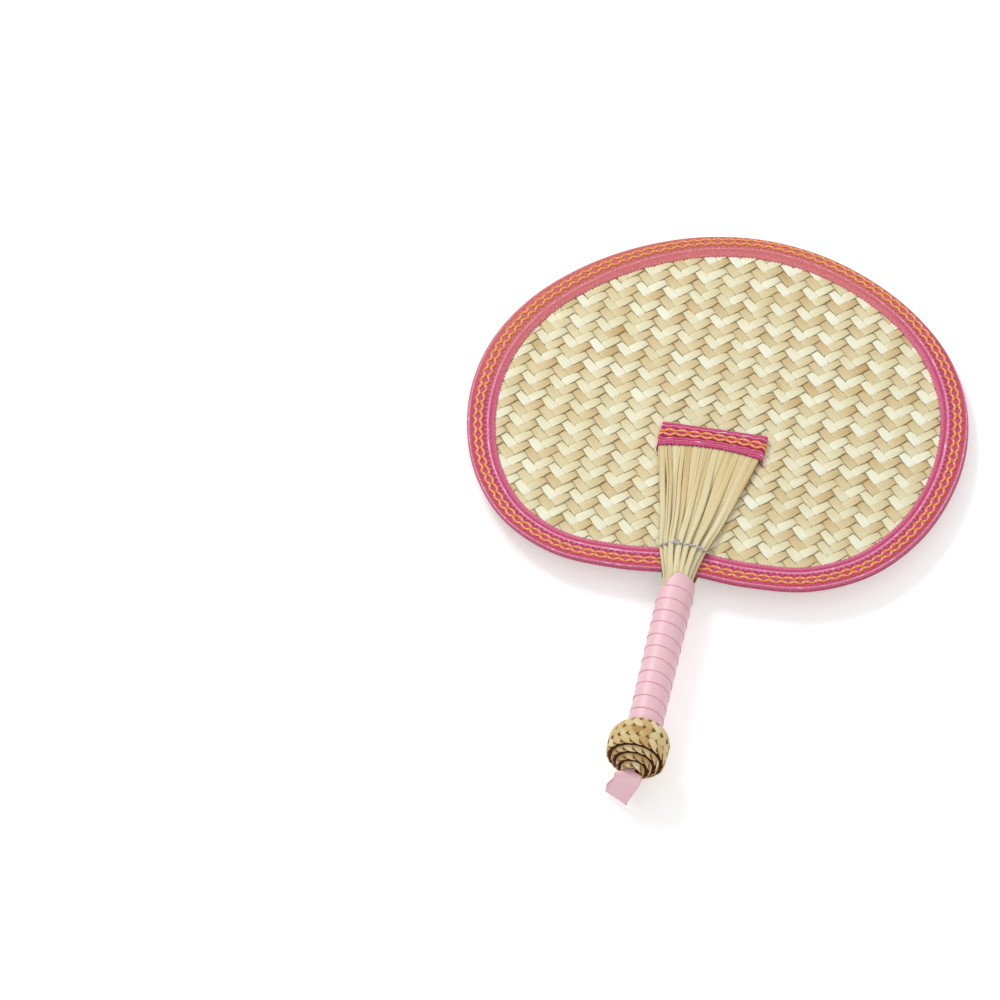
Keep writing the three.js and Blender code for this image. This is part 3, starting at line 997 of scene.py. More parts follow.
@dataclass(frozen=True)
class RibbonSection:
    """Patterned ribbon across its width: a turned-down outer edge, raised cords and a picot inner edge."""

    drop: float = 0.6
    roll_radius: float = 1.2
    flat_width: float = 12.0
    thickness: float = 0.3
    fall: float = 0.7
    fall_power: float = 1.5
    picot_pitch: float = 2.1
    picot_depth: float = 0.75
    picot_power: float = 0.8
    waver: float = 0.0
    waver_length: float = 6.25
    cords: tuple[tuple[float, float, float], ...] = (
        (2.3, 0.22, 0.5),
        (10.5, 0.24, 0.4),
        (11.6, 0.3, 0.45),
        (13.5, 0.25, 0.6),
    )
    cord_twist: float = 1.9
    cord_ripple: float = 0.2
    cord_slant: float = 2.2
    roll_points: int = 6
    flat_points: int = 29
    wave_place: float = 6.8
    wave_reach: float = 2.05
    wave_power: float = 1.2
    # Distance from the pattern's middle where a cord has its painted highlight
    wave_lit_line: float = 1.45
    wave_swell: float = 0.3
    wave_length: float = 6.25
    wave_lift: float = 0.2
    wave_dip: float = 0.2
    wave_half_width: float = 0.66
    wave_half_height: float = 0.4
    wave_shading: tuple[float, float] = (0.2, 0.75)
    wave_sides: int = 8

    def stations(self) -> np.ndarray:
        """Distances across the ribbon from its turned-down edge, closer together where it curves.

        Returns:
            Distances from 0 to the ribbon's full width.
        """
        roll = self.drop + self.roll_radius * np.pi / 2
        turned = np.linspace(0, roll, self.roll_points)
        face = roll + self.flat_width * np.linspace(0, 1, self.flat_points)[1:]
        return np.concatenate([turned, face])

    def lay(self, across: np.ndarray, along: np.ndarray, slide: np.ndarray) -> tuple[np.ndarray, np.ndarray]:
        """Inset from the outer edge and height relative to the top of the face, at places on the ribbon.

        The ribbon rises straight for the drop, turns a quarter circle and then runs flat, falling a little.
        Each cord adds a bell curve across it, which swells and shrinks along it with the cord's twist.

        Args:
            across: distances from the turned-down edge.
            along: distances along the ribbon.
            slide: how far the pattern lies towards the turned-down edge.

        Returns:
            Insets and heights.
        """
        angle = np.clip((across - self.drop) / self.roll_radius, 0, np.pi / 2)
        flat = np.maximum(across - self.drop - self.roll_radius * np.pi / 2, 0)
        inset = self.roll_radius * (1 - np.cos(angle)) + flat
        height = self.roll_radius * (np.sin(angle) - 1) - np.maximum(self.drop - across, 0)
        height = height - self.fall * (flat / self.flat_width) ** self.fall_power
        straight = self.straighten(across, along, slide)
        for place, rise, spread in self.cords:
            turn = 2 * np.pi * along / self.cord_twist + self.cord_slant * across + place
            twist = 1 + self.cord_ripple * np.sin(turn)
            height = height + rise * twist * np.exp(-(((straight - place) / spread) ** 2))
        return inset, height

    def straighten(self, across: np.ndarray, along: np.ndarray, slide: np.ndarray) -> np.ndarray:
        """Places across the pattern: its lines slide over the ribbon, and waver as the cords pull them."""
        return across + slide - self.waver * np.sin(2 * np.pi * along / self.waver_length)

    def picot(self, along: np.ndarray) -> np.ndarray:
        """Reach of the small loops along the inner edge: a power of a rectified sine."""
        return self.picot_depth * np.abs(np.sin(np.pi * along / self.picot_pitch)) ** self.picot_power

    def wave_off(self, turn: np.ndarray, apart: np.ndarray) -> np.ndarray:
        """Distance of a wavy cord from the pattern's middle: a power of half a sine, rounded off at 0."""
        return np.hypot(self.wave_reach * np.abs(np.sin(turn / 2)) ** self.wave_power, apart)

    def wave_height(self, turn: np.ndarray) -> np.ndarray:
        """Height of a wavy cord's middle above the band, into which it dips where it is furthest out."""
        return self.wave_lift - self.wave_dip * np.sin(turn / 2) ** 4

    def wave_painted_shade(self, rings: np.ndarray, line: np.ndarray) -> np.ndarray:
        """Share of painted shade on a wavy cord, which has a painted highlight only near its slopes.

        Args:
            rings: the cord's points, by station, point and axis.
            line: the middle of the pattern, by station and axis.

        Returns:
            Shares by station and point, eased from 0 at a set distance from the middle to 1 further in or
            out.
        """
        off = np.linalg.norm(rings - line[:, None], axis=-1)
        return smooth(np.abs(off - self.wave_lit_line), *self.wave_shading)

    def wave_ring(self, turn: np.ndarray) -> np.ndarray:
        """Flattened round section of a wavy cord, wider where it crosses the other or turns back.

        Args:
            turn: angle along the wave, by station; the cords cross at each full turn.

        Returns:
            Distances across and out, by station and point: cosine and sine, stretched to the half sizes.
        """
        angle = np.linspace(0, 2 * np.pi, self.wave_sides, endpoint=False) - np.pi / 2
        half = self.wave_half_width * (1 + self.wave_swell * np.cos(turn[:, None]) ** 2)
        return pair(half * np.cos(angle), self.wave_half_height * np.sin(angle))

    def wave_lie(self, along: np.ndarray) -> np.ndarray:
        """Flat map of a wavy cord: the distance along it, and the share of the way round it."""
        return pair(along[:, None], np.arange(self.wave_sides) / self.wave_sides)


@dataclass(frozen=True)
class PatternedRibbon:
    """Patterned ribbon on one face: a woven band that carries two wavy cords."""

    face: Face
    place: str
    section: RibbonSection

    def band(self) -> Patch:
        """The woven band, which each kind of ribbon lays in its own way."""
        raise NotImplementedError

    def wave(self, sign: int) -> Patch:
        """One of the two wavy cords, which mirror each other across the band by their sign."""
        raise NotImplementedError

    def build(self, trim: bpy.types.Material, cord: bpy.types.Material) -> list[bpy.types.Object]:
        """Lay the band and its two cords.

        Args:
            trim: finish of the band.
            cord: finish of the cords.

        Returns:
            The band, and both cords as one piece.
        """
        face = self.face.name.lower()
        nodes = [f"{self.place}_trim_{face}"]
        waves = join([self.wave(1), self.wave(-1)])
        return [
            add_piece(f"{self.place}_ribbon_{face}", self.band(), trim, nodes),
            add_piece(f"{self.place}_waves_{face}", waves, cord, nodes),
        ]


@dataclass(frozen=True)
class RimRibbon(PatternedRibbon):
    """Patterned ribbon sewn by hand round the rim on one face, so that its width wanders a little."""

    place: str = "rim"
    section: RibbonSection = RibbonSection()
    top: float = 1.72
    overhangs: tuple[float, ...] = (1.0, 0.8, 0.5, 0.5, 0.5, 0.5, 0.8, 1.0)
    reaches: tuple[float, ...] = (11.7, 11.4, 13.2, 12.9, 12.9, 12.0, 13.6, 13.7)
    slides: tuple[float, ...] = (1.9, 1.6, -0.1, 0.25, 0.5, 0.7, -0.1, 0.4)
    aparts: tuple[float, ...] = (0.6, 0.6, 0.6, 0.5, 0.4, 0.45, 0.6, 0.6)
    edge_depth: float = 0.35
    edge_width: float = 3.0
    roll_depth: float = 0.1
    fade_place: float = 0.47
    fade_lean: float = 0.35
    fade_range: tuple[float, float] = (0.05, 0.85)
    wave_fade: float = 0.35
    steps: int = 1740
    cord_steps: int = 1600

    def fade(self, points: np.ndarray) -> np.ndarray:
        """Share of salmon tint at places on the rim: none at the handle and right, full at the far left."""
        off = points[..., 1] - self.fade_place * RIM.height - self.fade_lean * points[..., 0]
        return smooth(off / (RIM.height / 2), *self.fade_range)

    def around(self, along: np.ndarray, values: Sequence[float]) -> np.ndarray:
        """Values between marks that divide the rim evenly, at distances round it."""
        marks = RIM.length() * np.arange(len(values) + 1) / len(values)
        return np.interp(along, marks, [*values, values[0]])

    def surface(
        self, along: np.ndarray, across: np.ndarray, points: np.ndarray, inward: np.ndarray
    ) -> np.ndarray:
        """Places on the ribbon's face.

        Args:
            along: distances round the rim, by station.
            across: distances across the ribbon, by station and point.
            points: rim points, by station.
            inward: directions into the panel, by station.

        Returns:
            Places by station, point and axis.
        """
        inset, height = self.section.lay(across, along[:, None], self.around(along, self.slides)[:, None])
        reach = self.around(along, self.reaches)
        overhang = self.around(along, self.overhangs)
        stretch = (reach + overhang) / (self.section.roll_radius + self.section.flat_width)
        inset = inset * stretch[:, None] - overhang[:, None]
        flat = points[:, None, :] + inward[:, None, :] * inset[..., None]
        return np.concatenate([flat, (self.top + height)[..., None] * self.face.value], axis=-1)

    def band(self) -> Patch:
        """The woven band: the face, and an underside that dips into the weave at its inner edge.

        Returns:
            The band's surface, joined up round the rim.
        """
        points, inward, along = RIM.sample(self.steps)
        stations = self.section.stations()
        across = np.broadcast_to(stations, (self.steps, len(stations))).copy()
        across[:, -1] += self.section.picot(along)
        upper = self.surface(along, across, points, inward)
        lower = upper.copy()
        roll = stations < self.section.drop + self.section.roll_radius
        lower[..., :2] += inward[:, None, :] * np.where(roll, self.section.thickness, 0)[None, :, None]
        edge = smooth(stations, stations[-1] - self.edge_width, stations[-1])
        depth = self.section.thickness + self.edge_depth * edge
        lower[..., 2] -= self.face.value * np.where(roll, self.roll_depth, depth)
        # The hidden underside needs only every third point
        rings = np.concatenate([upper, lower[:, ::-3]], axis=1)
        over = np.concatenate([across, across[:, ::-3]], axis=1) + self.around(along, self.slides)[:, None]
        return sweep(rings, pair(along[:, None], over), joined=True, fade=self.fade(points)[:, None])

    def wave(self, sign: int) -> Patch:
        """One wavy orange cord on the band, which comes close to the other once in each wave.

        Args:
            sign: 1 or -1 for the two cords, which mirror each other across the middle of the band.

        Returns:
            The cord's surface: a flattened tube along a row of rounded half waves.
        """
        points, inward, along = RIM.sample(self.cord_steps)
        waves = round(RIM.length() / self.section.wave_length)
        turn = 2 * np.pi * waves * np.arange(self.cord_steps) / self.cord_steps
        off = self.section.wave_off(turn, self.around(along, self.aparts))
        place = self.section.wave_place - self.around(along, self.slides)
        line = self.surface(along, place[:, None], points, inward)[:, 0]
        middle = self.surface(along, (place + sign * off)[:, None], points, inward)[:, 0]
        middle[:, 2] += self.face.value * self.section.wave_height(turn)
        heading = np.roll(middle, -1, axis=0) - np.roll(middle, 1, axis=0)
        heading[:, 2] = 0
        heading = unit(heading)
        side = np.stack([-heading[:, 1], heading[:, 0], np.zeros(len(heading))], axis=1)
        up = np.broadcast_to([0.0, 0.0, float(self.face.value)], middle.shape)
        rings = ribbon_ring(middle, side, up, self.section.wave_ring(turn))
        dip = self.section.wave_painted_shade(rings, line)
        fade = self.fade(points)[:, None] * self.wave_fade
        return sweep(rings, self.section.wave_lie(along), joined=True, fade=fade, dip=dip)


@dataclass(frozen=True)
class StemBundle:
    """Straw stems: half a bundle runs up the handle, flares at the neck and spreads flat over one face."""

    face: Face
    rows: tuple[int, ...] = (6, 5, 4)
    diameter: float = 2.1
    bundle_width: float = 2.7
    tip_width: float = 3.7
    bundle_pitch: float = 2.42
    row_pitch: float = 2.15
    spread_pitch: float = 3.4
    lower_end: float = -105.0
    neck: float = -4.0
    neck_run: float = 4.0
    neck_spread: float = 0.28
    thread: float = 17.8
    rim_edge: float = 1.5
    rim_step: float = 14.0
    trim_lower: float = 77.3
    trim_hold: tuple[float, float] = (1.0, 25.0)
    tip: float = 89.8
    handle_height: float = 1.21
    rim_height: float = 3.15
    panel_height: float = 2.15
    dome: float = 0.6
    dome_half: float = 5.0
    lean: float = -1.2
    lean_place: float = 12.0
    lean_length: float = 16.0
    hidden_steps: int = 8
    seen_steps: int = 72
    sides: int = 20
    squareness: float = 0.6
    jitter: float = 0.12
    jitter_lengths: tuple[float, float] = (19.0, 8.3)
    parting: float = 0.32
    parting_places: tuple[float, float] = (40.0, 66.0)
    parting_length: float = 20.0
    lift: float = 0.35
    lift_spread: float = 0.5
    width_spread: float = 0.06
    width_wave: tuple[float, float] = (0.05, 13.0)
    groove: float = 0.06
    groove_counts: tuple[int, int] = (5, 9)
    tone: tuple[float, float] = (0.4, 0.1)
    tone_wave: tuple[float, float] = (0.06, 31.0)
    tone_rise: float = 0.2
    tone_span: tuple[float, float] = (20.0, 75.0)
    # Painted shade on the lower sides, and a painted dark line down the face
    edge_fall: float = 1.1
    shade_line_room: int = 2
    shade_line_shares: tuple[float, float] = (0.6, 1.2)
    shade_line_length: float = 17.0
    map_stride: float = 300.0
    map_strides: float = 9.0

    def places(self) -> list[tuple[int, float]]:
        """Where each stem lies in the half bundle, from left to right as they spread.

        Returns:
            Rows, and places across.
        """
        found = [
            (row, (k - (count - 1) / 2) * self.bundle_pitch)
            for row, count in enumerate(self.rows)
            for k in range(count)
        ]
        return sorted(found, key=lambda p: (p[1], p[0] if p[1] < 0 else -p[0]))

    def spread(self, y: np.ndarray) -> np.ndarray:
        """Share of the way from the bundle to the full spread.

        Args:
            y: distances up the fan.

        Returns:
            Shares on one straight line up to the thread and another beyond it.
        """
        below = np.clip((self.thread - y) / (self.thread - self.neck), 0, 1)
        above = np.clip((y - self.thread) / (self.trim_lower - self.thread), 0, 1)
        flare = self.neck_spread * (1 - below)
        return flare + (1 - flare) * above

    def height(self, y: np.ndarray) -> np.ndarray:
        """Height of the stems nearest the panel.

        Args:
            y: distances up the fan.

        Returns:
            Heights: low in the handle, eased up over the rim ribbon and down again on the panel.
        """
        climb = smooth(y, self.neck - self.neck_run, self.rim_edge)
        rim = self.handle_height + (self.rim_height - self.handle_height) * climb
        return rim + (self.panel_height - rim) * smooth(y, self.thread, self.thread + self.rim_step)

    def stem(self, number: int) -> Patch:
        """Work out one stem.

        An uneven rounded oblong, cosine and sine raised to a power, is carried along the stem's path. It is
        wider towards the tip. Painted shade darkens its lower sides, and a painted dark line, for a shaded
        gap between stems, runs down its face.

        Args:
            number: place from the left, from 0.

        Returns:
            The stem's surface.
        """
        places = self.places()
        row, bundled = places[number]
        rng = np.random.default_rng([SEED, number, self.face.value + 5])
        start = self.neck - self.neck_run
        hidden = np.linspace(self.lower_end, start, self.hidden_steps)
        y = np.concatenate([hidden, np.linspace(start + 1, self.tip, self.seen_steps)])
        spread = self.spread(y)
        tip = (number - (len(places) - 1) / 2) * self.spread_pitch
        held = (self.trim_lower + self.trim_hold[0], self.trim_lower - self.trim_hold[1])
        free = smooth(y, self.neck, self.thread) * smooth(y, *held)
        neck = np.exp(-(((y - self.lean_place) / self.lean_length) ** 2))
        wave = rng.uniform(0, PHASES, 3)
        slow, quick = self.jitter_lengths
        stray = self.jitter * free * (np.sin(y / slow + wave[0]) + 0.5 * np.sin(y / quick + wave[1]))
        pushed = rng.normal(0, self.parting)
        parted = (y - rng.uniform(*self.parting_places)) / self.parting_length
        stray = stray + pushed * np.exp(-(parted**2)) * free
        x = bundled + (tip - bundled) * spread + stray + self.lean * neck
        z = self.height(y) + row * self.row_pitch * (1 - spread)
        z = z + self.dome * neck * max(0.0, 1 - (bundled / self.dome_half) ** 2)
        z = z + self.lift * free * rng.normal(0, self.lift_spread)
        half = (self.bundle_width + (self.tip_width - self.bundle_width) * spread) / 2
        swell, length = self.width_wave
        half = half * (1 + free * (rng.normal(0, self.width_spread) + swell * np.sin(y / length + wave[2])))
        angle = 2 * np.pi * (np.arange(self.sides) + 0.5) / self.sides
        square = [np.sign(f) * np.abs(f) ** self.squareness for f in (np.cos(angle), np.sin(angle))]
        groove = 1 - self.groove * np.cos(angle * rng.integers(*self.groove_counts) + wave[2])
        rings = np.stack(
            np.broadcast_arrays(
                x[:, None] + half[:, None] * square[0] * groove,
                y[:, None],
                self.face.value * (z[:, None] + self.diameter / 2 * square[1] * groove),
            ),
            axis=-1,
        )
        shift = self.map_stride * rng.uniform(0, self.map_strides)
        lie = pair(y[:, None] + shift, half[:, None] * square[0])
        depth, length = self.tone_wave
        tone = rng.normal(*self.tone) + depth * np.sin(y / length + wave[1])
        tone = tone + self.tone_rise * smooth(y, *self.tone_span)
        # Painted shade: lower sides where stems lie against each other, and one dark line down the face
        edge = np.broadcast_to(np.clip(1 - self.edge_fall * square[1], 0, 1), (len(y), self.sides)).copy()
        shade_point = rng.integers(self.sides // 4 - self.shade_line_room, self.sides // 4 + self.shade_line_room)
        line = rng.uniform(*self.shade_line_shares) * (0.75 + 0.25 * np.sin(y / self.shade_line_length + wave[0]))
        edge[:, shade_point] = np.maximum(edge[:, shade_point], np.clip(line, 0, 1))
        return sweep(rings, lie, tone=np.clip(tone, 0.05, 0.95)[:, None], edge=edge)

    def build(self, finish: bpy.types.Material) -> list[bpy.types.Object]:
        """Lay all the stems of one face, each in place of its own solid.

        Args:
            finish: the straw that dresses them.

        Returns:
            The stems, from left to right.
        """
        face = self.face.name.lower()
        pieces = []
        for k in range(len(self.places())):
            number = f"{k + 1:02d}"
            nodes = [f"{face}_stem_{number}"]
            pieces.append(add_piece(f"{face}_straw_{number}", self.stem(k), finish, nodes))
        return pieces


@dataclass(frozen=True)
class TipRibbon(PatternedRibbon):
    """Patterned ribbon across the stem tips of one face, its ends and far edge turned down to the panel."""

    place: str = "tip"
    section: RibbonSection = RibbonSection(
        drop=0.4,
        roll_radius=0.6,
        flat_width=13.1,
        fall=0.12,
        waver=0.3,
        cords=(
            (1.4, 0.28, 0.4),
            (2.8, 0.24, 0.4),
            (10.5, 0.26, 0.4),
            (12.0, 0.28, 0.4),
            (13.5, 0.28, 0.4),
        ),
        wave_reach=1.8,
    )
    left: float = -26.2
    right: float = 27.4
    upper: float = 92.0
    slide: float = -0.3
    apart: float = 0.4
    foot: float = 0.95
    top: float = 3.95
    corner: float = 1.3
    bow: float = 3.0
    bow_width: float = 12.0
    bow_limit: float = 1.1
    tail: float = 2.0
    tail_span: tuple[float, float] = (0.5, 2.8)
    stem_pitch: float = 3.4
    drape: float = 0.16
    drape_span: tuple[float, float] = (3.0, 11.0)
    least_rise: float = 0.9
    map_start: float = 900.0
    wave_end: float = 0.4
    steps: int = 170
    cord_steps: int = 180

    def bend(self, along: np.ndarray) -> tuple[np.ndarray, np.ndarray]:
        """Bend the ribbon's ends down: flat, a quarter circle, then a wall.

        Args:
            along: distances along the ribbon from its middle.

        Returns:
            Places across the fan, and depths below the top.
        """
        middle, half = (self.left + self.right) / 2, (self.right - self.left) / 2
        flat = half - self.corner
        angle = np.clip((np.abs(along) - flat) / self.corner, 0, np.pi / 2)
        wall = np.maximum(np.abs(along) - flat - self.corner * np.pi / 2, 0)
        x = np.sign(along) * (np.minimum(np.abs(along), flat) + self.corner * np.sin(angle))
        return middle + x, self.corner * (1 - np.cos(angle)) + wall

    def half_path(self) -> float:
        """Half the ribbon's length, down to its end at the panel."""
        half = (self.right - self.left) / 2
        return half - self.corner + self.corner * np.pi / 2 + self.top - self.corner - self.foot

    def surface(self, along: np.ndarray, across: np.ndarray) -> np.ndarray:
        """Places on the ribbon's face.

        Args:
            along: distances along the ribbon from its middle, by station and point.
            across: distances across it from its far edge, by station and point.

        Returns:
            Places by station, point and axis.
        """
        x, depth = self.bend(along)
        inset, height = self.section.lay(across, along, self.slide)
        lower = np.clip(inset / self.bow_width, 0, self.bow_limit)
        sag = self.bow * ((x / self.right) ** 2 - 0.5) * lower
        sag = sag + self.tail * smooth(depth, *self.tail_span) * lower
        between = 0.5 - 0.5 * np.cos(2 * np.pi * (x / self.stem_pitch + 0.5))
        dimple = self.drape * between * smooth(inset, *self.drape_span)
        rise = np.maximum(self.top + height - depth - dimple, self.foot * self.least_rise)
        return np.stack([x, self.upper - inset - sag, self.face.value * rise], axis=-1)

    def band(self) -> Patch:
        """The woven band: the face, and an underside one thickness inside it.

        Returns:
            The band's surface.
        """
        along = np.linspace(-self.half_path(), self.half_path(), self.steps)[:, None]
        stations = self.section.stations()
        across = np.broadcast_to(stations, (self.steps, len(stations))).copy()
        across[:, -1] += self.section.picot(along[:, 0])
        upper = self.surface(np.broadcast_to(along, across.shape), across)
        lower = upper - [0, 0, self.face.value * self.section.thickness]
        lower[..., 0] *= 1 - self.section.thickness / self.right
        rings = np.concatenate([upper, lower[:, ::-1]], axis=1)
        over = self.section.straighten(np.concatenate([across, across[:, ::-1]], axis=1), along, self.slide)
        return sweep(rings, pair(along + self.map_start, over), fade=np.zeros((1, 1)))

    def wave(self, sign: int) -> Patch:
        """One wavy orange cord on the band.

        Args:
            sign: 1 or -1 for the two cords, which mirror each other across the middle of the band.

        Returns:
            The cord's surface: a flattened tube along a row of rounded half waves.
        """
        reach = self.half_path() - self.wave_end
        along = np.linspace(-reach, reach, self.cord_steps)
        turn = 2 * np.pi * along / self.section.wave_length
        place = np.full_like(along, self.section.wave_place - self.slide)
        line = self.surface(along[:, None], place[:, None])[:, 0]
        across = place + sign * self.section.wave_off(turn, self.apart)
        middle = self.surface(along[:, None], across[:, None])[:, 0]
        heading = unit(np.gradient(middle, axis=0))
        up = unit(np.cross(heading, [0.0, float(self.face.value), 0.0]))
        middle = middle + up * self.section.wave_height(turn)[:, None]
        rings = ribbon_ring(middle, np.cross(heading, up), up, self.section.wave_ring(turn))
        dip = self.section.wave_painted_shade(rings, line)
        return sweep(rings, self.section.wave_lie(along), fade=np.zeros((1, 1)), dip=dip)


def tube_frames(path: np.ndarray) -> tuple[np.ndarray, np.ndarray]:
    """Two unit vectors across a path, which turn as little as a fixed hint allows.

    Args:
        path: points along the middle, by station.

    Returns:
        First and second vectors across, by station.
    """
    hint = [0.12, 1.0, 0.07]
    heading = unit(np.gradient(path, axis=0))
    side = unit(np.cross(heading, hint))
    return side, np.cross(heading, side)


@dataclass(frozen=True)
class NeckThread:
    """Grey thread of two plies tied round the neck through the panel, knotted on the front."""

    middle: float = -1.0
    reach_x: float = 12.1
    reach_z: float = 8.4
    level: float = 17.8
    sag: float = 4.5
    sag_power: int = 4
    power: float = 2.6
    loop_steps: int = 90
    steps: int = 420
    sides: int = 6
    knot_angle: float = np.radians(102)
    knot_gap: float = np.radians(3)
    tail_length: float = 2.0
    tail_leans: tuple[float, float] = (0.1, 0.2)
    tail_rise: float = 0.5
    ply_radius: float = 0.35
    ply_reach: float = 0.85
    twist_pitch: float = 2.8
    knot_size: float = 0.34
    knot_steps: int = 90
    knot_height: float = 0.8
    knot_thickness: float = 1.15
    knot_off: tuple[float, float, float] = (0.0, 0.5, 0.3)

    def loop_point(self, angle: np.ndarray) -> np.ndarray:
        """Places on a rounded box round the neck, sagging off the panel.

        Args:
            angle: angles round the neck.

        Returns:
            Places: cosine and sine raised to 2 / power, times the reaches.
        """
        squared = [np.sign(f) * np.abs(f) ** (2 / self.power) for f in (np.cos(angle), np.sin(angle))]
        level = self.level - self.sag * (1 - (1 - np.abs(squared[1])) ** self.sag_power)
        return np.stack([self.middle + self.reach_x * squared[0], level, self.reach_z * squared[1]], axis=-1)

    def path(self) -> np.ndarray:
        """The thread's middle line, from one tail round the neck to the other.

        Returns:
            Points at equal steps.
        """
        start, turn = self.knot_angle + self.knot_gap, 2 * np.pi - 2 * self.knot_gap
        loop = self.loop_point(start + turn * np.linspace(0, 1, self.loop_steps))
        first, last = ([lean, self.tail_length, self.tail_rise] for lean in self.tail_leans)
        return catmull_rom(np.vstack([loop[0] + first, loop, loop[-1] + last]), self.steps)

    def ply(self, start: float) -> Patch:
        """One ply: a thin tube that winds round the middle line once per twist.

        Args:
            start: angle at which it starts.

        Returns:
            The ply's surface.
        """
        path = self.path()
        side, rise = tube_frames(path)
        turn = start + 2 * np.pi * arc_length(path) / self.twist_pitch
        off = side * np.cos(turn)[:, None] + rise * np.sin(turn)[:, None]
        return self.tube(path + self.ply_radius * self.ply_reach * off, self.ply_radius)

    def tube(self, path: np.ndarray, radius: float) -> Patch:
        """A round tube along a path.

        Args:
            path: points along its middle.
            radius: its radius.

        Returns:
            The tube's surface.
        """
        side, rise = tube_frames(path)
        angle = np.linspace(0, 2 * np.pi, self.sides, endpoint=False)
        ring = radius * np.stack([np.cos(angle), np.sin(angle)], axis=1)
        lie = pair(arc_length(path)[:, None], np.arange(self.sides) / self.sides)
        return sweep(ribbon_ring(path, side, rise, ring), lie, fade=np.zeros((1, 1)))

    def knot(self) -> Patch:
        """The knot: a tube along a trefoil, (2 + cos 3t) turned through 2t, pulled tight.

        Returns:
            The knot's surface.
        """
        t = np.linspace(0, 2 * np.pi, self.knot_steps)
        ring = 2 + np.cos(3 * t)
        across = ring * np.cos(2 * t)
        up = ring * np.sin(2 * t) * self.knot_height
        trefoil = np.stack([across, up, np.sin(3 * t)], axis=1)
        centre = self.loop_point(np.array(self.knot_angle)) + np.array(self.knot_off)
        return self.tube(centre + self.knot_size * trefoil, self.ply_radius * self.knot_thickness)

    def build(self, finish: bpy.types.Material) -> list[bpy.types.Object]:
        """Twist the two plies and tie the knot."""
        patch = join([self.ply(0), self.ply(np.pi), self.knot()])
        return [add_piece("neck_twine", patch, finish, ["neck_thread"])]


@dataclass(frozen=True)
class HandleRibbon:
    """Satin ribbon wound up the handle, each turn lapping over the one below."""

    inner_radius: float = 7.95
    flare: float = 0.5
    thickness: float = 0.26
    lap_rise: float = 0.26
    lap_power: float = 1.2
    rounding: float = 0.12
    width: float = 11.4
    last_width: float = 8.6
    narrowing: tuple[float, float] = (1.5, 1.0)
    edge_shares: tuple[float, ...] = (0.0, 0.01, 0.04)
    face_shares: tuple[float, float] = (0.12, 0.96)
    face_points: int = 9
    pitch: float = 7.4
    bottom: float = -104.0
    top: float = -4.0
    end_angle: float = np.radians(125)
    end_taper: float = 0.55
    end_run: float = 0.1
    steps_per_turn: int = 64
    edge_sway: float = 0.28
    sway_waves: tuple[tuple[float, float, float], ...] = ((1.0, 0.37, 1.1), (0.6, 1.9, 0.4))
    sway_middle: float = 0.4
    crease: float = 0.05
    crease_rates: tuple[float, float] = (3.1, 0.53)
    crease_slant: float = 5.0
    crease_start: float = 2.0

    def band(self) -> Patch:
        """The band on a helix.

        Its radius falls from the lower edge, which lies on the turn below, to the upper edge, which lies on
        the stems: a power of the share of the lap that is left. Slow waves shift its edges and shallow
        slanting creases cross it. The last turn, which nothing covers, is narrower.

        Returns:
            The band's surface.
        """
        turns = (self.top - self.bottom - self.last_width) / self.pitch
        count = int(turns * self.steps_per_turn) + 1
        turn = np.linspace(0, turns, count)[:, None]
        angle = self.end_angle + 2 * np.pi * (turn - turns)
        share = np.concatenate([self.edge_shares, np.linspace(*self.face_shares, self.face_points), [1.0]])
        waves = sum(part * np.sin(angle * rate + phase) for part, rate, phase in self.sway_waves)
        lower = self.bottom + turn * self.pitch + self.edge_sway * (waves - self.sway_middle)
        first, last = self.narrowing
        room = self.width + (self.last_width - self.width) * smooth(turn, turns - first, turns - last)
        room = room * (1 - self.end_taper * smooth(turn, turns - self.end_run, turns))
        y = lower + room * share
        lapped = self.lap_rise * np.clip(1 - share * self.width / self.pitch, 0, 1) ** self.lap_power
        quick, slow = self.crease_rates
        ripple = self.crease * np.sin(angle * quick + share * self.crease_slant)
        ripple = ripple * np.sin(angle * slow + self.crease_start) * np.sin(np.pi * share)
        outer = self.inner_radius + self.flare * turn / turns + self.thickness + lapped + ripple
        rounded = np.where((share == 0) | (share == 1), self.rounding, 0)
        radius = np.concatenate([outer - rounded, (outer - self.thickness + rounded)[:, ::-1]], axis=1)
        height = np.concatenate([y, y[:, ::-1]], axis=1)
        rings = np.stack([radius * np.cos(angle), height, radius * np.sin(angle)], axis=-1)
        over = np.concatenate([share, share[::-1]])
        lie = pair(angle * self.inner_radius, over * self.width)
        # The edge share carries the satin's painted shade at the lapped edges
        return sweep(rings, lie, edge=np.abs(2 * over - 1))

    def build(self, finish: bpy.types.Material) -> list[bpy.types.Object]:
        """Wind the ribbon."""
        return [add_piece("handle_satin", self.band(), finish, ["handle_ribbon"])]


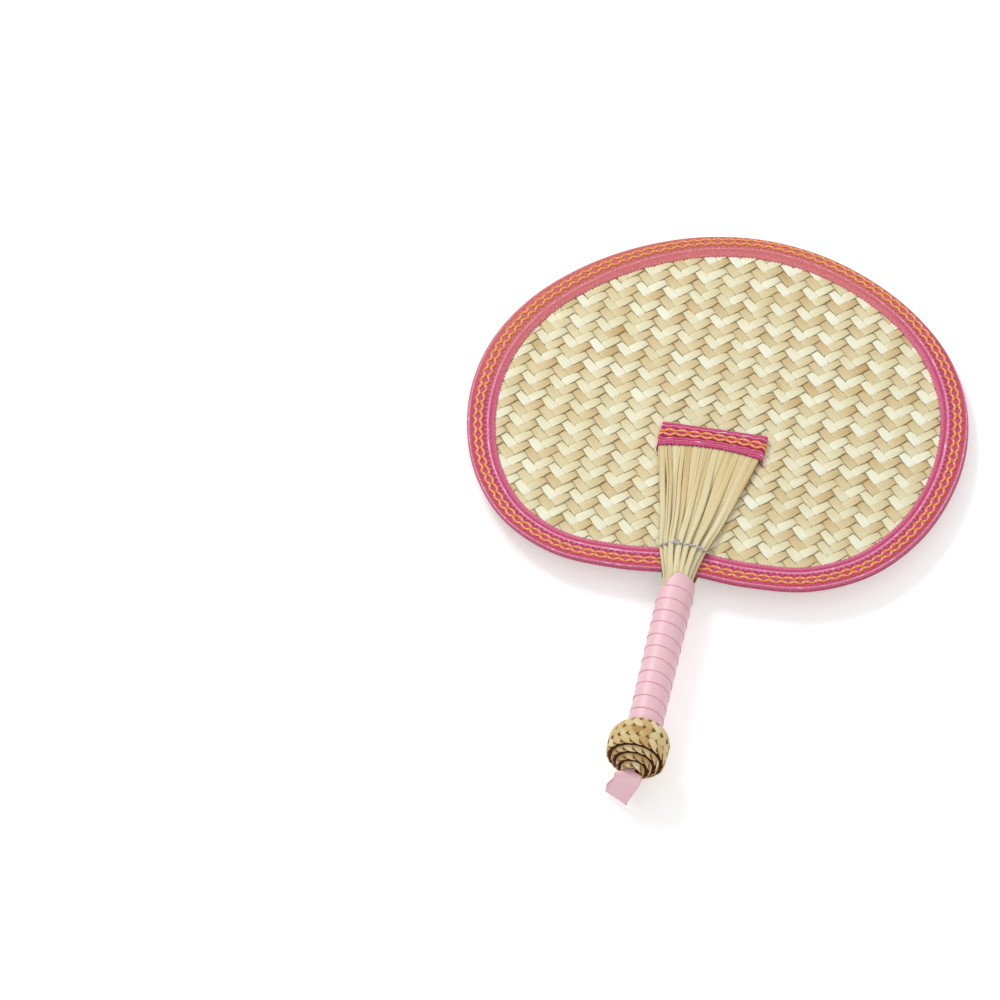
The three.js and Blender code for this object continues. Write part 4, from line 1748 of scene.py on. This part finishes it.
@dataclass(frozen=True)
class PommelRoll:
    """Flat straw plait rolled into a spiral, each inner turn pushed out below the next."""

    turns: float = 3.95
    start_radius: float = 4.2
    pitch: float = 2.85
    top: float = -94.6
    outer_bottom: float = -111.3
    telescope: float = 2.7
    core_top: float = -106.0
    rise_turn: float = 2.85
    rise_length: float = 0.2
    top_tuck: float = 6.0
    bottom_tuck: float = 0.5
    handle_radius: float = 9.9
    strands: int = 7
    columns: float = 3.5
    plait_width: float = 16.7
    strand_width: float = 3.6
    width_spread: float = 0.04
    strand_thickness: float = 0.5
    edge_inset: float = 0.42
    zigzag: float = 0.97
    turn_ease: float = 0.04
    lift: float = 0.44
    flatness: float = 2.2
    bow: float = 0.14
    tone: tuple[float, float] = (0.45, 0.12)
    tone_spread: float = 0.16
    edge_span: tuple[float, float] = (0.3, 2.5)
    # Painted shade on the plait's hidden faces
    hidden_shade: float = 0.8
    map_stretch: float = 1.4
    map_stride: float = 500.0
    lining_depth: float = 0.22
    lining_reach: float = 0.47
    lining_points: int = 15
    lining_tone: float = 0.95
    # Painted shade on the lining
    lining_shade: float = 0.5
    gap_depth: float = 0.5
    gap_height: float = 3.0
    gap_half: float = 0.8
    step: float = 0.9

    def stations(self, turns: float) -> np.ndarray:
        """Distances along the plait, up to a number of turns: radius summed over the turns."""
        length = 2 * np.pi * (self.start_radius * turns + self.pitch * turns**2 / 2)
        return np.arange(0, length, self.step)

    def roll(self, u: np.ndarray, v: np.ndarray, w: np.ndarray) -> np.ndarray:
        """Roll the flat plait up.

        A distance u along the plait gives the turn by solving its length, and with it the radius and angle.
        The distance v across it runs up from the turn's lower edge and is squeezed towards the turn's top.
        The outer turns bend in towards the handle.

        Args:
            u: distances along the plait.
            v: distances across the plait from its middle.
            w: distances out of its face.

        Returns:
            Places in the fan's axes.
        """
        r0, p = self.start_radius, self.pitch
        turn = (np.sqrt(r0**2 + 2 * p * np.clip(u, 0, None) / (2 * np.pi)) - r0) / p
        angle = -np.pi / 2 + 2 * np.pi * (turn - self.turns)
        radius = r0 + p * turn
        bottom = self.outer_bottom - self.telescope * (self.turns - turn)
        rise = smooth(turn, self.rise_turn, self.rise_turn + self.rise_length)
        room = self.core_top + (self.top - self.core_top) * rise - bottom
        up = np.clip(v + self.plait_width / 2, 0, self.plait_width) / self.plait_width
        y = bottom + room * (1 - (1 - up) ** (self.plait_width / room))
        middle = (self.top + self.outer_bottom) / 2
        above = np.clip((y - middle) / (self.top - middle), 0, 1)
        below = np.clip((middle - y) / (middle - bottom), 0, 1)
        tuck = np.clip(radius - self.handle_radius, 0, self.top_tuck) * above**2
        out = radius - tuck - self.bottom_tuck * below**2 + w
        return np.stack([out * np.cos(angle), y, out * np.sin(angle)], axis=-1)

    def strand(self, number: int) -> Patch:
        """One plait strand.

        It zigzags between the plait's edges as a rounded triangle wave, one seventh of a wave after its
        neighbour. Its height is a flattened sine of the place across, turned over when the strand runs back,
        so that the floats of both directions alternate in columns.

        Args:
            number: place among the strands, from 0.

        Returns:
            The strand's surface.
        """
        rng = np.random.default_rng([SEED, 77, number])
        wave = self.strands * self.plait_width / self.columns
        u = self.stations(self.turns)
        phase = 2 * np.pi * (u / wave + number / self.strands)
        reach = self.plait_width / 2 - self.edge_inset * self.strand_width
        v = reach * np.arcsin(self.zigzag * np.sin(phase)) / np.arcsin(self.zigzag)
        slope = np.gradient(v, u)
        norm = np.sqrt(1 + slope**2)
        heading = np.cos(phase) / np.sqrt(np.cos(phase) ** 2 + self.turn_ease)
        column = np.sin(np.pi * (v + self.plait_width / 2) * self.columns / self.plait_width)
        lifted = self.lift * heading * np.tanh(self.flatness * column)
        half = self.strand_width / 2 * (1 + rng.normal(0, self.width_spread))
        profile = strip_profile(half, self.strand_thickness)
        bow = self.bow * (1 - (profile[:, 0] / half) ** 2) * (np.sign(lifted) * np.abs(column))[:, None]
        rings = self.roll(
            u[:, None] - (slope / norm)[:, None] * profile[:, 0],
            v[:, None] + (1 / norm)[:, None] * profile[:, 0],
            lifted[:, None] + profile[:, 1] + bow,
        )
        floats = np.floor(phase / np.pi * self.columns / 2).astype(int)
        floats -= floats.min()
        tones = rng.normal(*self.tone) + rng.normal(0, self.tone_spread, floats.max() + 1)
        tone = np.clip(tones, 0.05, 0.95)[floats]
        lie = pair((u * self.map_stretch + self.map_stride * number)[:, None], profile[:, 0])
        inside = smooth(reach - np.abs(v), *self.edge_span)
        # Hidden faces take painted shade
        hidden = np.maximum(inside, self.hidden_shade)
        return sweep(rings, lie, tone=tone[:, None], edge=strip_edge(lifted / self.lift, inside, hidden))

    def gaps(self) -> Patch:
        """Painted shade in the space between the turns: a dark brown filling, half a pitch out from each turn
        but the last.

        Returns:
            The filling's surface, a square section just inside the next turn's edge.
        """
        u = self.stations(self.turns - 1)[:, None]
        up = self.telescope + self.gap_depth + self.gap_height * np.array([0.0, 0.0, 1.0, 1.0])
        out = self.pitch / 2 + self.gap_half * np.array([-1.0, 1.0, 1.0, -1.0])
        rings = self.roll(*np.broadcast_arrays(u, up - self.plait_width / 2, out))
        return sweep(rings, pair(u, up), tone=np.ones((1, 1)), edge=np.ones((1, 1)))

    def lining(self) -> Patch:
        """The undersides seen between the strands: a plain band rolled with the plait, darkened with painted
        shade.

        Returns:
            The band's surface.
        """
        u = self.stations(self.turns)[:, None]
        v = np.linspace(-self.lining_reach, self.lining_reach, self.lining_points) * self.plait_width
        out = np.full(self.lining_points, self.lining_depth)
        across, face = np.concatenate([v, v[::-1]]), np.concatenate([out, -out])
        rings = self.roll(*np.broadcast_arrays(u, across, face))
        tone, edge = np.full((1, 1), self.lining_tone), np.full((1, 1), self.lining_shade)
        return sweep(rings, pair(u, across), tone=tone, edge=edge)

    def build(self, finish: StrawFinish) -> list[bpy.types.Object]:
        """Plait the strands and roll them up."""
        patch = join([self.strand(k) for k in range(self.strands)] + [self.lining(), self.gaps()])
        return [add_piece("rolled_plait", patch, finish.material(), ["pommel_plait"])]


@dataclass(frozen=True)
class HangLoop:
    """Limp satin ribbon doubled into a loop: its ends lie in the pommel's core and its fold hangs down."""

    pivot: tuple[float, float] = (-123.31, 0.0)
    droop: float = np.radians(78.541)
    width: float = 13.0
    thickness: float = 0.3
    root_x: float = -2.2
    lean: float = -5.4
    twist: float = np.radians(-28)
    route: tuple[tuple[float, float], ...] = (
        (-110.0, 0.5),
        (-117.0, 0.6),
        (-121.2, 1.1),
        (-123.0, 0.3),
        (-123.7, -3.0),
        (-124.4, -8.0),
        (-125.0, -12.6),
        (-124.9, -15.9),
        (-123.6, -16.4),
        (-122.9, -14.4),
        (-122.6, -9.0),
        (-122.3, -4.0),
        (-122.0, -1.6),
        (-120.6, -0.7),
        (-117.0, -0.6),
        (-110.0, -0.5),
    )
    hang_length: float = 15.5
    open_span: tuple[float, float] = (119.6, 122.2)
    tail_width: float = 5.4
    cup: float = 0.5
    cup_level: float = 0.4
    across_shares: tuple[float, ...] = (-1, -0.97, -0.6, -0.2, 0.2, 0.6, 0.97, 1)
    out_shares: tuple[float, ...] = (0.2, 1, 1, 1, 1, 1, 1, 0.2)
    stations: int = 130
    root_length: float = 1.5
    bend_length: float = 9.0

    def band(self) -> tuple[Patch, float]:
        """The ribbon along its route, gathered in the core, leaning and turning as it hangs.

        Returns:
            Its surface and its length.
        """
        path = catmull_rom(np.array(self.route), self.stations)
        hang = smooth(-path[:, 1], 0.0, self.hang_length)
        gather = self.tail_width / self.width
        opened = gather + (1 - gather) * smooth(-path[:, 0], *self.open_span)
        turn = self.twist * hang
        across = np.stack([np.cos(turn), np.sin(turn), np.zeros_like(turn)], axis=1)
        middle = np.column_stack([self.root_x + self.lean * hang, path])
        normal = unit(np.cross(across, unit(np.gradient(middle, axis=0))))
        out = np.array(self.out_shares) * self.thickness / 2
        share = np.array(self.across_shares + self.across_shares[::-1])
        u = self.width / 2 * opened[:, None] * share
        bowed = self.cup * np.sin(np.pi * hang)[:, None] * (share**2 - self.cup_level)
        w = np.concatenate([out, -out[::-1]]) + bowed
        rings = ribbon_ring(middle, across, normal, np.stack([u, w], axis=-1))
        along = arc_length(middle)
        lie = pair(along[:, None], share * self.width / 2)
        # The edge share carries the satin's painted edge shade
        return sweep(rings, lie, edge=np.abs(share)), float(along[-1])

    def build(self, finish: bpy.types.Material) -> bpy.types.Object:
        """Hang the loop in place of its solids, as one fixed shape.

        Args:
            finish: the satin that dresses it.

        Returns:
            The loop.
        """
        patch, length = self.band()
        piece = add_piece("satin_loop", patch, finish, ["hang_loop", "loop_tail"])
        y, z = self.pivot
        start = np.array([0.0, y + self.root_length, z])
        reach = self.bend_length
        end = np.array([0.0, y - reach * np.cos(self.droop), z - reach * np.sin(self.droop)])
        tuple(FAN.place(start))
        tuple(FAN.place(end))
        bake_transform(piece)
        LOG.info("satin_loop: flat %.1f by %.1f mm", self.width, length)
        return piece


@dataclass(frozen=True)
class Studio:
    """White table, soft light from the upper left and a long lens at the photograph's viewing angle."""

    table_shade: str = "#F7F7F7"
    table_half: float = 4.0
    table_lift: float = -0.0006
    white_lift: float = 0.33
    sky: float = 0.55
    sky_shade: str = "#FFFFFF"
    lamps: tuple[tuple[str, tuple[float, float, float], float, float], ...] = (
        ("key_lamp", (-0.75, 0.75, 1.0), 0.5, 9.0),
        ("fill_lamp", (0.5, -0.9, 1.0), 1.0, 4.0),
    )
    lens: float = 162.0
    sensor: float = 36.0
    farthest: float = 20.0
    aim: tuple[float, float, float] = (0.0, 94.2, 1.8)
    azimuth: float = np.radians(13.93)
    elevation: float = np.radians(51.055)
    roll: float = np.radians(-2.488)
    distance: float = 2251.215
    slide: tuple[float, float] = (-107.437, -36.198)

    def camera(self) -> bpy.types.Object:
        """Set the camera: back from the aim along the viewing angle, rolled, and slid across the view.

        Returns:
            The camera.
        """
        a, e, r = self.azimuth, self.elevation, self.roll
        back = np.array([np.sin(a) * np.cos(e), -np.cos(a) * np.cos(e), np.sin(e)])
        level = np.array([np.cos(a), np.sin(a), 0])
        upright = np.cross(back, level)
        right = level * np.cos(r) + upright * np.sin(r)
        up = upright * np.cos(r) - level * np.sin(r)
        eye = np.array(self.aim) + back * self.distance + right * self.slide[0] + up * self.slide[1]
        data = bpy.data.cameras.new("view")
        data.lens, data.sensor_width = self.lens, self.sensor
        data.clip_end = self.farthest
        camera = bpy.data.objects.new("view", data)
        turned = FAN.turn() @ np.stack([right, up, back], axis=1)
        camera.matrix_world = Matrix.Translation(FAN.place(eye)) @ Matrix(turned.tolist()).to_4x4()
        bpy.context.scene.collection.objects.link(camera)
        bpy.context.scene.camera = camera
        return camera

    def lamp(self, name: str, place: tuple[float, float, float], size: float, power: float) -> None:
        """Hang a square soft lamp that faces the fan.

        Args:
            name: what it is for.
            place: where it hangs, in metres.
            size: length of its sides, in metres.
            power: its power, in watts.
        """
        data = bpy.data.lights.new(name, "AREA")
        data.size, data.energy = size, power
        lamp = bpy.data.objects.new(name, data)
        eye = Matrix.Translation(place).translation
        lamp.location = eye
        lamp.rotation_euler = eye.to_track_quat("Z", "Y").to_euler()
        bpy.context.scene.collection.objects.link(lamp)

    def table(self) -> None:
        """Lay the white table, which the camera sees a little brighter than it is lit."""
        corners = ((-1, -1), (1, -1), (1, 1), (-1, 1))
        points = [(self.table_half * x, self.table_half * y, self.table_lift) for x, y in corners]
        mesh = bpy.data.meshes.new("table")
        mesh.from_pydata(points, [], [(0, 1, 2, 3)])
        table = bpy.data.objects.new("table", mesh)
        bpy.context.scene.collection.objects.link(table)
        material, tree, output = new_material("matt white table")
        matt = add_node(tree, "ShaderNodeBsdfDiffuse", {"Color": linear(self.table_shade)})
        path = add_node(tree, "ShaderNodeLightPath")
        shown = path.outputs["Is Camera Ray"]
        for ray in ("Is Glossy Ray", "Is Transmission Ray"):
            either = {0: shown, 1: path.outputs[ray]}
            shown = add_node(tree, "ShaderNodeMath", {"operation": "MAXIMUM"}, either).outputs["Value"]
        strength = add_node(
            tree, "ShaderNodeMath", {"operation": "MULTIPLY", 1: self.white_lift}, {0: shown}
        )
        glow = add_node(tree, "ShaderNodeEmission", links={"Strength": strength.outputs["Value"]})
        parts = {0: matt.outputs["BSDF"], 1: glow.outputs["Emission"]}
        both = add_node(tree, "ShaderNodeAddShader", links=parts)
        tree.links.new(both.outputs["Shader"], output.inputs["Surface"])
        mesh.materials.append(material)

    def build(self) -> None:
        """Set up the camera, the lamps, the sky and the table."""
        scene = bpy.context.scene
        scene.view_settings.view_transform = "Standard"
        self.camera()
        for lamp in self.lamps:
            self.lamp(*lamp)
        world = bpy.data.worlds.new("studio")
        world.use_nodes = True
        background = world.node_tree.nodes["Background"]
        background.inputs["Strength"].default_value = self.sky
        background.inputs["Color"].default_value = linear(self.sky_shade)
        scene.world = world
        self.table()


# Split straw: strips of one leaf, bleached unevenly, so pale strips lie beside tan ones; its near-black edge
# colour is raw edge and painted gap shade
WEAVE_STRAW = StrawFinish(
    name="bleached split straw",
    shades=((0.0, "#FCFCEC"), (0.25, "#F7F5D8"), (0.5, "#EADFB6"), (0.75, "#DDC898"), (1.0, "#C8A66E")),
    edge_and_shadow_colour="#46240A",
    edge_and_shadow_share=0.94,
    edge_start=0.4,
    fibre_contrast=0.6,
)
# Whole stems: rounder and drier than the strips, with painted brown shade where they lie against each other
STEM_STRAW = StrawFinish(
    name="dry straw stems",
    shades=((0.0, "#F6F0D2"), (0.35, "#EEE4BC"), (0.65, "#E3D09C"), (1.0, "#C39C62")),
    edge_and_shadow_colour="#7E5526",
    edge_and_shadow_share=0.9,
    edge_start=0.55,
    fibre_width=0.42,
    fibre_length=60.0,
    fibre_contrast=0.75,
)
# Plait straw: the thicker golden leaf, duller and browner at its edges, its near-black edge colour also
# painted shade in outlines and gaps
PLAIT_STRAW = StrawFinish(
    name="golden plaited straw",
    shades=((0.0, "#F2E4B6"), (0.35, "#E4CC94"), (0.65, "#D2B078"), (1.0, "#AE8248")),
    edge_and_shadow_colour="#4A1804",
    edge_and_shadow_share=1.0,
    edge_start=0.02,
    gloss=0.1,
)
# Ribbon across the stem tips: deeper pinks with no salmon tint, pale on raised cords as painted highlight,
# dark in the grooves as painted shade, with painted glints
TIP_TRIM = TrimFinish(
    name="deep pink ribbon",
    bands=(
        (0.0, "#A41E4C"),
        (0.7, "#B01650"),
        (1.4, "#EC6A96"),
        (2.1, "#B21A56"),
        (2.8, "#F08CAC"),
        (3.5, "#C03468"),
        (5.0, "#BC205E"),
        (6.8, "#CE3A76"),
        (8.8, "#AE1450"),
        (9.7, "#A4104A"),
        (10.5, "#EE6E9A"),
        (11.2, "#A8124C"),
        (12.0, "#EE749E"),
        (12.8, "#B42458"),
        (13.5, "#E66694"),
        (14.3, "#C43C68"),
    ),
    glint_bands=((2.5, 3.1), (10.2, 10.8), (11.7, 12.3)),
    stitches=((13.9, 17.0, 2.1, 0.3),),
)
# Embroidery rayon: glossy twist, with a painted peach highlight along its slopes and painted deep orange
# shade where it crosses or turns back
WAVE_THREAD = ThreadFinish(
    name="orange embroidery rayon",
    painted_lit_side="#FFC284",
    painted_shaded_side="#FBAA5E",
    deep_tone_and_shadow="#D2660C",
    faded_shade="#E8963E",
    twist_pitch=1.1,
)
# Waxed cotton: two dull grey plies, with painted light and shade along the twist
GREY_THREAD = ThreadFinish(
    name="grey waxed cotton",
    painted_lit_side="#D6D4D0",
    painted_shaded_side="#A4A09C",
    deep_tone_and_shadow="#8E8A86",
    faded_shade="#B9B5B0",
    twist_pitch=0.9,
    roughness=0.7,
)


def main() -> None:
    """Build the fan's pieces in order, set them on their bodies and light them."""
    logging.basicConfig(level=logging.INFO, format="%(message)s")
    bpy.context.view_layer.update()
    Studio().build()
    satin = SatinFinish().material()
    HangLoop().build(satin)
    trim, tip_trim, waves = TrimFinish().material(), TIP_TRIM.material(), WAVE_THREAD.material()
    stem_straw = STEM_STRAW.material()
    fixed = WovenPanel().build(WEAVE_STRAW)
    for face in Face:
        fixed += RimRibbon(face).build(trim, waves)
        fixed += StemBundle(face).build(stem_straw)
        fixed += TipRibbon(face).build(tip_trim, waves)
    fixed += NeckThread().build(GREY_THREAD.material())
    fixed += HandleRibbon().build(satin)
    fixed += PommelRoll().build(PLAIT_STRAW)
    for piece in fixed:
        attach(piece, "fan")


if __name__ == "__main__":
    main()
